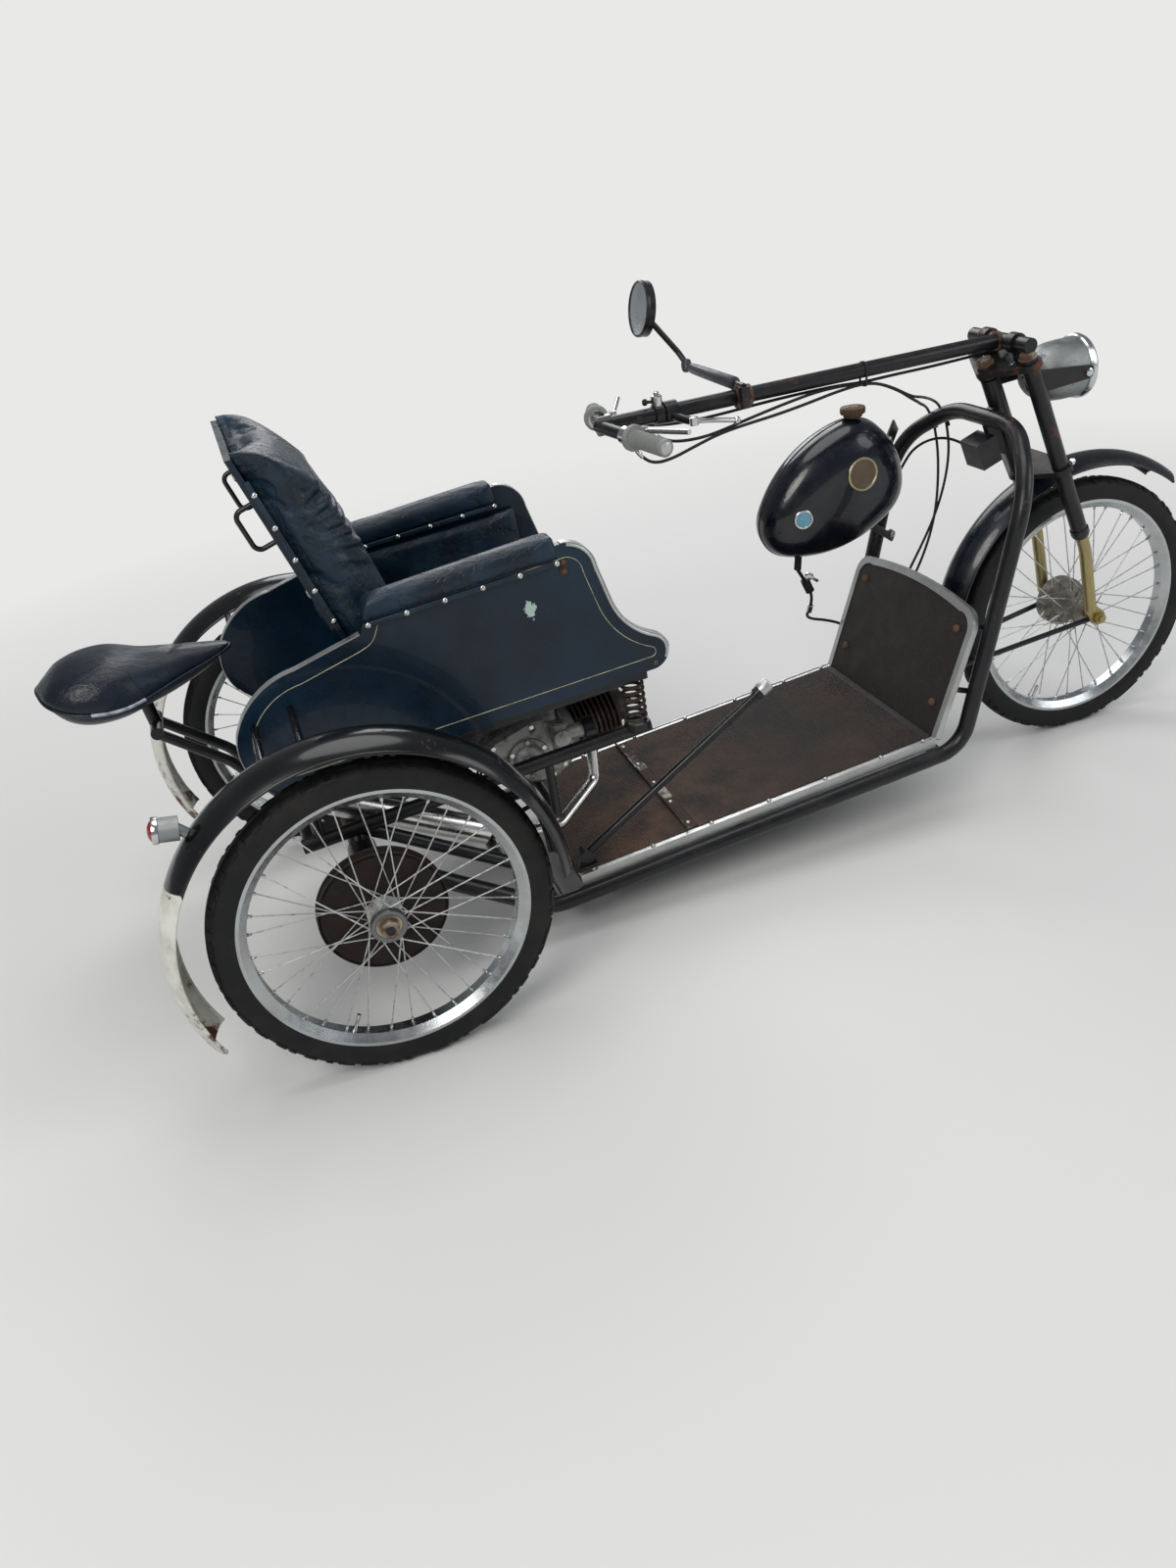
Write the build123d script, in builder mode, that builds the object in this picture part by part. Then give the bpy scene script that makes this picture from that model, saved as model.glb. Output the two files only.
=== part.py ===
from build123d import *
from math import atan2, cos, degrees, radians, sin, tan
import os

# Motorised invalid carriage: two rear wheels under an armchair, one steered front wheel,
# a footboard between them and a long tiller that reaches back to the rider.
# Millimetres, +X forward, +Y to the rider's left, +Z up from the ground.
# The origin lies on the ground under the middle of the whole length.

# Driving sizes of the whole carriage
WHEELBASE = 1715
TRACK = 895
TYRE_R = 299
TYRE_W = 56
SADDLE_REACH = 475
RUN_GAP = 0.3

REAR_X = -(WHEELBASE + TYRE_R - SADDLE_REACH) / 2
WHEEL_Y = TRACK / 2

# Wire wheels
RIM_W = 44
TYRE_H = 53
RIM_SEAT_R = TYRE_R - TYRE_H
RIM_FLANGE_R = RIM_SEAT_R + 7
RIM_WELL_R = RIM_SEAT_R - 10
RIM_WALL = 3.5
TREAD_W = 38
SHOULDER_DROP = 6
SPOKES = 36
SPOKE_D = 2.6
SPOKE_LEAD = 58
HUB_FLANGE_R = 31
HUB_BARREL_R = 19
REAR_HUB_W = 52
FRONT_HUB_W = 78
FRONT_DRUM_R = 56
DRUM_R = 112
DRUM_W = 26
SPINDLE_R = 8
NUT_R = 15

# Floor, its tubes and the front board
FLOOR_REAR = 400
FLOOR_FRONT = WHEELBASE - 511
FLOOR_Z = 126
FLOOR_RISE = 0.096
FLOOR_HALF = 236
FLOOR_PLY = 18
MAT_T = 4
BOARD_T = 12
BOARD_LEAN = 21
BOARD_LENGTH = 281
TRIM_T = 2
TUBE_D = 34
RAIL_Y = 243
RAIL_REAR = 330
LEG_FOOT_X = WHEELBASE - 453
LEG_SLOPE = 0.2717
LEG_TOP_Z = 700
ARCH_X = WHEELBASE - 245
ARCH_Z = 782
ARCH_HALF = 115
ARCH_BEND = 150
BEAM_D = 42

# Steering: the axis leans back, and passes through the middle of the top yoke
RAKE = 20.4
STEER_X = WHEELBASE - 246
STEER_Z = 892
FORK_OFFSET = 43
FORK_HALF = 85
HEAD_R = 19
STEM_R = 13.5
TOP_YOKE = 18
HEAD_TOP = 36
HEAD_LENGTH = 212
YOKE_T = 12
LEG_R = 17
LEG_END_Z = 508
SLIDER_R = 13
SLIDER_END = (WHEELBASE - 19, TYRE_R + 23)
TILLER_Z = 930
TILLER_D = 30
TILLER_FRONT = STEER_X + 38
TILLER_REAR = TILLER_FRONT - 852
TBAR_HALF = 98
CABLE_D = 6
GRIP_R = 16

# Mudguards
GUARD_T = 2
FRONT_GUARD_R = TYRE_R + 58
FRONT_GUARD_W = 94
FRONT_GUARD = (50, 190)
REAR_GUARD_R = TYRE_R + 54
REAR_GUARD_W = 100
REAR_GUARD = (0, 206)
GUARD_CROWN = 24

# Armchair
PANEL_Y = 240
PANEL_T = 16
SEAT_Z = 478
SEAT_RISE = 0.07
SEAT_PLY = 15
SADDLE_Z = 700

# Engine and drive
ENGINE_X = 395
ENGINE_Z = 352
CASE_R = 74
CASE_HALF = 62

# Tank
TANK_X = LEG_FOOT_X - 16
TANK_Y = 150
TANK_HALF = 70


def side(y):
    """Upright plane along the carriage: local x forward from the rear axle, local y up."""
    return Plane(origin=(REAR_X, y, 0), x_dir=(1, 0, 0), z_dir=(0, -1, 0))


def level(z):
    """Level plane: local x forward from the rear axle, local y to the left."""
    return Plane(origin=(REAR_X, 0, z), x_dir=(1, 0, 0), z_dir=(0, 0, 1))


def at(x, y, z):
    """Point forward from the rear axle, to the left and up."""
    return Vector(REAR_X + x, y, z)


def floor_z(x):
    """Height of the mat's top at x."""
    return FLOOR_Z + FLOOR_RISE * (x - FLOOR_REAR)


def wheel_section(x, y):
    """Plane through a wheel's axis: local x along the axle, local y outwards from it."""
    return Plane(origin=(REAR_X + x, y, TYRE_R), x_dir=(0, 1, 0), z_dir=(1, 0, 0))


def wheel_axis(x, y):
    return Axis((REAR_X + x, y, TYRE_R), (0, 1, 0))


def tube(points, diameter, bend):
    """Round bar along straight runs joined by bends."""
    with BuildLine() as route:
        if len(points) == 2:
            Line(*points)
        else:
            FilletPolyline(*points, radius=bend)
    with BuildSketch(Plane(origin=route.line @ 0, z_dir=route.line % 0)) as ring:
        Circle(diameter / 2)
    sweep(ring.sketch, path=route.line)


def rod(start, end, radius, mode=Mode.ADD):
    """Round bar from one point to another."""
    run = end - start
    with BuildSketch(Plane(origin=start, z_dir=run)) as ring:
        Circle(radius)
    extrude(ring.sketch, amount=run.length, mode=mode)


def save(part, name):
    part.label = name
    export_step(part, "parts/" + name + ".step")


os.makedirs("parts", exist_ok=True)

# Wheels: a tyre, a chromed rim, and a hub with its crossed spokes, all turned about the axle.
# Columns: name, place forward of the rear axle, place to the left, hub width, drum radius, side of the drum
WHEELS = [
    ("front", WHEELBASE, 0, FRONT_HUB_W, FRONT_DRUM_R, 1),
    ("rear_right", 0, -WHEEL_Y, REAR_HUB_W, DRUM_R, 1),
    ("rear_left", 0, WHEEL_Y, REAR_HUB_W, DRUM_R, -1),
]


def make_tyre(name, x, y):
    bead = RIM_W / 2 - RIM_WALL - RUN_GAP
    lip_r = RIM_FLANGE_R + RUN_GAP
    shoulder_r = TYRE_R - SHOULDER_DROP
    middle_r = (lip_r + shoulder_r) / 2
    with BuildPart() as tyre:
        with BuildSketch(wheel_section(x, y)):
            with BuildLine():
                foot = Line((-bead, RIM_SEAT_R + RUN_GAP), (bead, RIM_SEAT_R + RUN_GAP))
                heel = Line(foot @ 1, (bead, lip_r))
                wall = ThreePointArc(heel @ 1, (TYRE_W / 2, middle_r), (TREAD_W / 2, shoulder_r))
                crown = ThreePointArc(wall @ 1, (0, TYRE_R), (-TREAD_W / 2, shoulder_r))
                far = ThreePointArc(crown @ 1, (-TYRE_W / 2, middle_r), (-bead, lip_r))
                Line(far @ 1, foot @ 0)
            make_face()
        revolve(axis=wheel_axis(x, y))
    save(tyre.part, "tyre_" + name)


def make_rim(name, x, y):
    edge = RIM_W / 2
    inner = edge - RIM_WALL
    well = 11
    inside_r = RIM_WELL_R - RIM_WALL
    half = [(well, inside_r), (edge, RIM_SEAT_R), (edge, RIM_FLANGE_R), (inner, RIM_FLANGE_R)]
    half += [(inner, RIM_SEAT_R), (well, RIM_WELL_R)]
    with BuildPart() as rim:
        with BuildSketch(wheel_section(x, y)):
            with BuildLine():
                Polyline(*half, *[(-u, r) for u, r in reversed(half)], close=True)
            make_face()
        revolve(axis=wheel_axis(x, y))
    save(rim.part, "rim_" + name)


def spoke_planes(x, y, flange_half):
    """Planes at the hub end of each spoke, facing its rim end, and the spokes' length."""
    reach = RIM_WELL_R - RIM_WALL - RUN_GAP
    planes = []
    for index in range(SPOKES):
        side_sign = 1 if index % 2 else -1
        lean = 1 if (index // 2) % 2 else -1
        outer = radians(360 / SPOKES * index)
        inner = outer + lean * radians(SPOKE_LEAD)
        hub_r = HUB_FLANGE_R - 3
        start = at(x + hub_r * cos(inner), y + side_sign * flange_half, TYRE_R + hub_r * sin(inner))
        end = at(x + reach * cos(outer), y + side_sign * 4, TYRE_R + reach * sin(outer))
        planes.append((Plane(origin=start, z_dir=end - start), (end - start).length))
    return planes


def make_hub(name, x, y, width, drum_r, drum_side):
    flange_half = width / 2 - 6
    with BuildPart() as hub:
        with BuildSketch(wheel_section(x, y)):
            with Locations((0, (HUB_BARREL_R) / 2)):
                Rectangle(width, HUB_BARREL_R)
            for flange in (-flange_half, flange_half):
                with Locations((flange, HUB_FLANGE_R / 2)):
                    Rectangle(4, HUB_FLANGE_R)
            with Locations((-drum_side * (width / 2), HUB_FLANGE_R / 2 - 0.5)):
                Rectangle(14, HUB_FLANGE_R - 1)
            with Locations((drum_side * (width / 2 + DRUM_W / 2 - 6), drum_r / 2)):
                Rectangle(DRUM_W, drum_r)
        revolve(axis=wheel_axis(x, y))
        spokes = spoke_planes(x, y, flange_half)
        with BuildSketch(*[plane for plane, length in spokes]):
            RegularPolygon(radius=SPOKE_D / 2, side_count=5)
        extrude(amount=spokes[0][1])
        with BuildSketch(side(y)):
            with Locations((x, TYRE_R)):
                Circle(SPINDLE_R + RUN_GAP)
        extrude(amount=width + DRUM_W, both=True, mode=Mode.SUBTRACT)
    save(hub.part, "hub_" + name)


for name, x, y, width, drum_r, drum_side in WHEELS:
    make_tyre(name, x, y)
    make_rim(name, x, y)
    make_hub(name, x, y, width, drum_r, drum_side)

# Rear axle: a beam across the frame with a thinner spindle and a nut at each wheel
BEAM_HALF = WHEEL_Y - REAR_HUB_W / 2 - DRUM_W - 6
with BuildPart() as rear_axle:
    rod(at(0, -BEAM_HALF, TYRE_R), at(0, BEAM_HALF, TYRE_R), BEAM_D / 2)
    hub_end = WHEEL_Y + REAR_HUB_W / 2 + 8
    rod(at(0, -hub_end - 16, TYRE_R), at(0, hub_end + 16, TYRE_R), SPINDLE_R)
    for sign in (-1, 1):
        with BuildSketch(side(sign * (hub_end + 6))):
            with Locations((0, TYRE_R)):
                RegularPolygon(radius=NUT_R, side_count=6)
        extrude(amount=5, both=True)
save(rear_axle.part, "rear_axle")

# Frame: one long bent tube makes both floor rails, both legs and the arch behind the steering head
RAIL_DROP = MAT_T + FLOOR_PLY + RUN_GAP + TUBE_D / 2


def rail_z(x):
    return floor_z(x) - RAIL_DROP


leg_top_x = LEG_FOOT_X + LEG_SLOPE * (LEG_TOP_Z - rail_z(LEG_FOOT_X))
right_run = [
    at(0, -RAIL_Y, TYRE_R),
    at(RAIL_REAR, -RAIL_Y, rail_z(RAIL_REAR)),
    at(LEG_FOOT_X, -RAIL_Y, rail_z(LEG_FOOT_X)),
    at(leg_top_x, -RAIL_Y, LEG_TOP_Z),
    at(ARCH_X, -ARCH_HALF, ARCH_Z),
]
left_run = [Vector(p.X, -p.Y, p.Z) for p in reversed(right_run)]
steer_down = Vector(sin(radians(RAKE)), 0, -cos(radians(RAKE)))
steer_top = at(STEER_X, 0, STEER_Z)


def on_axis(s):
    """Point on the steering axis, s below the top yoke's middle."""
    return steer_top + steer_down * s


# The front board rises from the floor's front end and leans forward to the legs
board_rise = radians(90 - BOARD_LEAN)


def board_plane(depth):
    """Plane along the front board's rear face; local x to the right, local y up the slope."""
    normal = Vector(-sin(board_rise), 0, cos(board_rise))
    up = Vector(cos(board_rise), 0, sin(board_rise))
    origin = at(FLOOR_FRONT + 0.7, 0, floor_z(FLOOR_FRONT) - MAT_T) - normal * depth
    return Plane(origin=origin, x_dir=normal.cross(up) * -1, z_dir=normal)


with BuildPart() as main_frame:
    tube(right_run + left_run, TUBE_D, [90, 75, ARCH_BEND, ARCH_BEND, ARCH_BEND, ARCH_BEND, 75, 90])
    for x in (RAIL_REAR + 20, 760, LEG_FOOT_X - 50):
        rod(at(x, -RAIL_Y, rail_z(x)), at(x, RAIL_Y, rail_z(x)), 13)
    for sign in (-1, 1):
        rod(at(0, sign * (RAIL_Y - 22), TYRE_R), at(0, sign * (RAIL_Y + 22), TYRE_R), BEAM_D / 2 + 6)
    rod(on_axis(HEAD_TOP), on_axis(HEAD_TOP + HEAD_LENGTH), HEAD_R)
    with BuildSketch(side(0)):
        with BuildLine():
            top = on_axis(HEAD_TOP + 50)
            low = on_axis(HEAD_TOP + 190)
            Polyline(
                (top.X - REAR_X, top.Z),
                (low.X - REAR_X, low.Z),
                (ARCH_X + 20, ARCH_Z - 75),
                (ARCH_X - 6, ARCH_Z),
                close=True,
            )
        make_face()
    extrude(amount=9, both=True)
    rod(on_axis(HEAD_TOP - 5), on_axis(HEAD_TOP + HEAD_LENGTH + 5), STEM_R + RUN_GAP, Mode.SUBTRACT)
    rod(at(0, -RAIL_Y - 30, TYRE_R), at(0, RAIL_Y + 30, TYRE_R), BEAM_D / 2 + RUN_GAP, Mode.SUBTRACT)
    strap_in = TANK_Y + TANK_HALF + RUN_GAP
    strap_out = RAIL_Y - TUBE_D / 4
    with BuildSketch(side((strap_in + strap_out) / 2)):
        with Locations((TANK_X + 84, 640)):
            Rectangle(118, 34)
    extrude(amount=(strap_out - strap_in) / 2, both=True)
    for slope_v in (112, 250):
        seat = board_plane(BOARD_T + RUN_GAP)
        foot = seat.from_local_coords((0, slope_v))
        leg_x = LEG_FOOT_X + LEG_SLOPE * (foot.Z - rail_z(LEG_FOOT_X))
        with BuildSketch(seat):
            with Locations((FLOOR_HALF - 8, slope_v), (8 - FLOOR_HALF, slope_v)):
                Circle(6)
        extrude(amount=-(leg_x - foot.X + REAR_X) * sin(board_rise))
save(main_frame.part, "main_frame")

# Floor: a plywood board with a ribbed mat, a worn steel strip across it and bright edge trims
floor_tilt = degrees(atan2(FLOOR_RISE, 1))


def floor_plane(drop):
    """Plane along the floor, drop below the mat's top; local x runs forward up the slope."""
    rise = radians(floor_tilt)
    normal = Vector(-sin(rise), 0, cos(rise))
    return Plane(origin=at(FLOOR_REAR, 0, FLOOR_Z) - normal * drop, x_dir=(cos(rise), 0, sin(rise)), z_dir=normal)


floor_length = (FLOOR_FRONT - FLOOR_REAR) / cos(radians(floor_tilt))
with BuildPart() as floor_board:
    with BuildSketch(floor_plane(MAT_T + FLOOR_PLY)):
        with Locations((floor_length / 2, 0)):
            Rectangle(floor_length, 2 * (FLOOR_HALF - TRIM_T - RUN_GAP))
    extrude(amount=FLOOR_PLY)
save(floor_board.part, "floor_board")

STRIP_X = 252
STRIP_W = 26
with BuildPart() as floor_mat:
    with BuildSketch(floor_plane(MAT_T)):
        with Locations((floor_length / 2, 0)):
            Rectangle(floor_length - 4, 2 * (FLOOR_HALF - 16))
        with Locations((STRIP_X, 0)):
            Rectangle(STRIP_W + 2 * RUN_GAP, 2 * FLOOR_HALF, mode=Mode.SUBTRACT)
    extrude(amount=MAT_T)
save(floor_mat.part, "floor_mat")

with BuildPart() as floor_strip:
    with BuildSketch(floor_plane(MAT_T)):
        with Locations((STRIP_X, 0)):
            Rectangle(STRIP_W, 2 * (FLOOR_HALF - 18))
    extrude(amount=MAT_T + 1)
    with BuildSketch(floor_plane(-1)):
        with Locations((STRIP_X - STRIP_W / 2 + 1.5, 0)):
            Rectangle(3, 2 * (FLOOR_HALF - 18))
    extrude(amount=8)
save(floor_strip.part, "floor_strip")

TRIM_H = MAT_T + FLOOR_PLY
with BuildPart() as floor_trim:
    with BuildSketch(floor_plane(TRIM_H)):
        for sign in (-1, 1):
            with Locations((floor_length / 2, sign * (FLOOR_HALF - TRIM_T / 2))):
                Rectangle(floor_length, TRIM_T)
    extrude(amount=TRIM_H)
    with BuildSketch(floor_plane(MAT_T)):
        for sign in (-1, 1):
            with Locations((floor_length / 2, sign * (FLOOR_HALF - 8 + RUN_GAP / 2))):
                Rectangle(floor_length, 16 - RUN_GAP)
    extrude(amount=TRIM_T)
save(floor_trim.part, "floor_trim")

# Front board: plywood with rounded upper corners, in a bright metal edging
BOARD_TOP_R = 45


def board_outline(inset):
    """Front board's outline: straight sides, round upper corners and a slightly arched top."""
    half = FLOOR_HALF - inset
    with BuildLine() as outline:
        foot = Line((-half, 0), (half, 0))
        right = Line(foot @ 1, (half, BOARD_LENGTH - BOARD_TOP_R))
        corner = RadiusArc(right @ 1, (half - BOARD_TOP_R, BOARD_LENGTH - inset), -(BOARD_TOP_R - inset / 2))
        top = ThreePointArc(corner @ 1, (0, BOARD_LENGTH + 14 - inset), (BOARD_TOP_R - half, BOARD_LENGTH - inset))
        far = RadiusArc(top @ 1, (-half, BOARD_LENGTH - BOARD_TOP_R), -(BOARD_TOP_R - inset / 2))
        Line(far @ 1, foot @ 0)
    make_face(outline.edges())


with BuildPart() as front_board:
    with BuildSketch(board_plane(BOARD_T)):
        board_outline(TRIM_T + RUN_GAP)
    extrude(amount=BOARD_T)
save(front_board.part, "front_board")

with BuildPart() as board_trim:
    with BuildSketch(board_plane(BOARD_T)):
        board_outline(0)
    extrude(amount=BOARD_T)
    with BuildSketch(board_plane(BOARD_T)):
        board_outline(TRIM_T)
    extrude(amount=BOARD_T, mode=Mode.SUBTRACT)
    with BuildSketch(board_plane(-RUN_GAP)):
        board_outline(0)
    extrude(amount=TRIM_T - 0.5)
    with BuildSketch(board_plane(-RUN_GAP)):
        board_outline(15)
    extrude(amount=TRIM_T, mode=Mode.SUBTRACT)
    with BuildSketch(board_plane(BOARD_T + 1)):
        with Locations((0, 0)):
            Rectangle(4 * FLOOR_HALF, 4)
    extrude(amount=BOARD_T * 2, mode=Mode.SUBTRACT)
save(board_trim.part, "board_trim")

# Armchair: two plywood side panels, a seat board on bearers, and a sloping back


def seat_z(x):
    """Height of the seat board's underside at x."""
    return SEAT_Z + SEAT_RISE * x


def panel_face(grow=0):
    """One side panel's outline: long low tail, hump at the arm's front and a round nose."""
    with BuildLine() as outline:
        bottom = Line((-106, 474), (606, 526))
        nose = ThreePointArc(bottom @ 1, (634, 550), (616, 594))
        hollow = ThreePointArc(nose @ 1, (566, 629), (536, 685))
        front = Line(hollow @ 1, (518, 750))
        hump = ThreePointArc(front @ 1, (501, 787), (462, 804))
        top = Line(hump @ 1, (100, 765))
        drop = Line(top @ 1, (86, 728))
        slope = Line(drop @ 1, (-37, 693))
        tail = ThreePointArc(slope @ 1, (-120, 655), (-158, 600))
        ThreePointArc(tail @ 1, (-157, 530), bottom @ 0)
    face = make_face(outline.edges())
    if grow:
        offset(amount=grow)
    return face


with BuildPart() as seat_panels:
    for sign in (-1, 1):
        with BuildSketch(side(sign * (PANEL_Y - PANEL_T / 2))):
            panel_face()
        extrude(amount=PANEL_T / 2, both=True)
save(seat_panels.part, "seat_panels")

EDGE_T = 1.6
with BuildPart() as panel_edging:
    for sign in (-1, 1):
        with BuildSketch(side(sign * (PANEL_Y - PANEL_T / 2))):
            panel_face(EDGE_T + RUN_GAP)
        extrude(amount=PANEL_T / 2 + 0.5, both=True)
        with BuildSketch(side(sign * (PANEL_Y - PANEL_T / 2))):
            panel_face(RUN_GAP)
        extrude(amount=PANEL_T, both=True, mode=Mode.SUBTRACT)
    with BuildSketch(side(0)):
        with Locations((250, 480)):
            Rectangle(900, 110, rotation=4.2)
        with Locations((270, 780)):
            Rectangle(380, 110, rotation=5.9)
    extrude(amount=2 * PANEL_Y, both=True, mode=Mode.SUBTRACT)
save(panel_edging.part, "panel_edging")

# Padded arms: leather over the panels' upper edges, down their inner faces to the seat
ARM_IN = 192
ARM_LIP = 6
LINING_T = 24
panel_in = PANEL_Y - PANEL_T
with BuildPart() as armrests:
    for sign in (-1, 1):
        with BuildSketch(side(sign * (PANEL_Y + ARM_LIP + ARM_IN) / 2)):
            with BuildLine():
                under = Line((92, 738), (452, 768))
                nose = ThreePointArc(under @ 1, (462, 805), (425, 830))
                top = Line(nose @ 1, (118, 792))
                Line(top @ 1, under @ 0)
            make_face()
        extrude(amount=(PANEL_Y + ARM_LIP - ARM_IN) / 2, both=True)
        with BuildSketch(side(sign * (panel_in - LINING_T / 2 - 2 * RUN_GAP))):
            with BuildLine():
                low = Line((112, seat_z(112) + SEAT_PLY + 6), (515, seat_z(515) + SEAT_PLY + 6))
                face = Line(low @ 1, (505, 742))
                bend = ThreePointArc(face @ 1, (492, 772), (440, 800))
                back = Line(bend @ 1, (118, 770))
                Line(back @ 1, low @ 0)
            make_face()
        extrude(amount=LINING_T / 2, both=True)
        with BuildSketch(side(sign * (PANEL_Y - PANEL_T / 2))):
            panel_face(EDGE_T + 2 * RUN_GAP)
        extrude(amount=PANEL_T / 2 + 0.5 + RUN_GAP, both=True, mode=Mode.SUBTRACT)
save(armrests.part, "armrests")

# Seat board on two steel bearers, and the cushion on it
with BuildPart() as seat_base:
    with BuildSketch(side(0)):
        with BuildLine():
            Polyline(
                (-92, seat_z(-92)),
                (598, seat_z(598)),
                (598, seat_z(598) + SEAT_PLY),
                (-92, seat_z(-92) + SEAT_PLY),
                close=True,
            )
        make_face()
    extrude(amount=panel_in - RUN_GAP, both=True)
save(seat_base.part, "seat_base")

BEARER = 20
FRAME_Y = 205
with BuildPart() as seat_bearers:
    for sign in (-1, 1):
        with BuildSketch(side(sign * FRAME_Y)):
            with BuildLine():
                Polyline(
                    (-86, seat_z(-86) - RUN_GAP),
                    (596, seat_z(596) - RUN_GAP),
                    (596, seat_z(596) - RUN_GAP - BEARER),
                    (-86, seat_z(-86) - RUN_GAP - BEARER),
                    close=True,
                )
            make_face()
        extrude(amount=BEARER / 2, both=True)
    for x in (-70, 380):
        rod(at(x, -FRAME_Y, seat_z(x) - 11), at(x, FRAME_Y, seat_z(x) - 11), 9)
save(seat_bearers.part, "seat_bearers")

CUSHION_T = 90
lining_in = panel_in - LINING_T - 3 * RUN_GAP
with BuildPart() as seat_cushion:
    with BuildSketch(side(0)):
        with BuildLine():
            base = SEAT_PLY + RUN_GAP
            Polyline(
                (96, seat_z(96) + base),
                (585, seat_z(585) + base),
                (592, seat_z(592) + base + CUSHION_T - 25),
                (560, seat_z(560) + base + CUSHION_T),
                (96, seat_z(96) + base + CUSHION_T),
                close=True,
            )
        make_face()
    extrude(amount=lining_in - 1, both=True)
    fillet(seat_cushion.edges().filter_by(Axis.Y), radius=14)
save(seat_cushion.part, "seat_cushion")

# Back: a board and a thick pad on its front face
BACK_SLOPE = 0.319
BACK_HALF = 190
BACK_FOOT_Z = 606
BACK_TOP_Z = 1046
BACK_PLY = 12
BACK_PAD = 80
IRON_Y = 130
IRON_T = 6
IRON_TOP_Z = 760


def back_x(z, forward=0):
    """Rear face of the back at height z, or a layer forward of it."""
    return 42 - BACK_SLOPE * (z - 735) + forward


with BuildPart() as backrest_board:
    with BuildSketch(side(0)):
        with BuildLine():
            Polyline(
                (back_x(BACK_FOOT_Z), BACK_FOOT_Z),
                (back_x(BACK_FOOT_Z, BACK_PLY), BACK_FOOT_Z),
                (back_x(BACK_TOP_Z, BACK_PLY), BACK_TOP_Z),
                (back_x(BACK_TOP_Z), BACK_TOP_Z),
                close=True,
            )
        make_face()
    extrude(amount=BACK_HALF - 2, both=True)
    for sign in (-1, 1):
        with BuildSketch(side(sign * IRON_Y)):
            with BuildLine():
                Polyline(
                    (86, seat_z(86) + SEAT_PLY + RUN_GAP),
                    (86, BACK_FOOT_Z - 8),
                    (back_x(IRON_TOP_Z), IRON_TOP_Z),
                    (back_x(IRON_TOP_Z) - IRON_T, IRON_TOP_Z),
                    (back_x(BACK_FOOT_Z) - IRON_T, BACK_FOOT_Z - 8),
                    (back_x(BACK_FOOT_Z) - IRON_T, seat_z(78) + SEAT_PLY + RUN_GAP),
                    close=True,
                )
            make_face()
        extrude(amount=15, both=True)
save(backrest_board.part, "backrest_board")

with BuildPart() as backrest_pad:
    with BuildSketch(side(0)):
        with BuildLine():
            back = BACK_PLY + RUN_GAP
            foot = Line(
                (back_x(BACK_FOOT_Z, back), BACK_FOOT_Z + 4),
                (back_x(BACK_FOOT_Z, back + BACK_PAD), BACK_FOOT_Z + 12),
            )
            front = Line(foot @ 1, (back_x(985, back + BACK_PAD), 985))
            crown = ThreePointArc(front @ 1, (back_x(1044, back + 52), 1044), (back_x(1062, back), 1062))
            Line(crown @ 1, foot @ 0)
        make_face()
    extrude(amount=BACK_HALF, both=True)
    fillet(backrest_pad.faces().sort_by(Axis.X)[-1].edges().filter_by(Axis.Y, reverse=True), radius=22)
save(backrest_pad.part, "backrest_pad")

# Two loop handles on the back for pushing
HANDLE_Y = 150
with BuildPart() as push_handles:
    for sign in (-1, 1):
        top = at(back_x(962) - RUN_GAP, sign * HANDLE_Y, 962)
        low = at(back_x(892) - RUN_GAP, sign * HANDLE_Y, 892)
        out = Vector(-34, 0, -11)
        tube([top, top + out, low + out, low], 9, 14)
save(push_handles.part, "push_handles")

# Subframe under the seat: two rails over the axle, with struts down to the floor's rear edge
SUB_D = 28
SUB_Z = TYRE_R + 51
SUB_RISE = 0.085
SUB_REAR = -104
SUB_FRONT = 592
ENGINE_Y = -40
SPRING_X = 566
SPRING_R = 22


def sub_z(x):
    return SUB_Z + SUB_RISE * x


with BuildPart() as seat_frame:
    for sign in (-1, 1):
        y = sign * FRAME_Y
        rod(at(SUB_REAR, y, sub_z(SUB_REAR)), at(SUB_FRONT, y, sub_z(SUB_FRONT)), SUB_D / 2)
        rod(at(6, y, sub_z(6)), at(330, y, 148), 13)
        rod(at(-70, y, sub_z(-70)), at(-70, y, seat_z(-70) - BEARER - 2 * RUN_GAP - 1), 11)
        rod(at(0, y - 14, TYRE_R), at(0, y + 14, TYRE_R), BEAM_D / 2 + 6)
        rod(at(0, y, TYRE_R + BEAM_D / 2 + 3), at(0, y, sub_z(0)), 9)
        rod(at(380, y, sub_z(380)), at(380, y, 262), 9)
        rod(at(SPRING_X, y, sub_z(SPRING_X)), at(SPRING_X, y, sub_z(SPRING_X) + SUB_D / 2 + 2), SPRING_R + 3)
    for x, z, radius in ((SUB_REAR + 12, sub_z(SUB_REAR), 11), (250, 201, 11), (380, 262, 11)):
        rod(at(x, -FRAME_Y, z), at(x, FRAME_Y, z), radius)
    rod(at(0, -RAIL_Y + 24, TYRE_R), at(0, RAIL_Y - 24, TYRE_R), BEAM_D / 2 + RUN_GAP, Mode.SUBTRACT)
save(seat_frame.part, "seat_frame")

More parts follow.
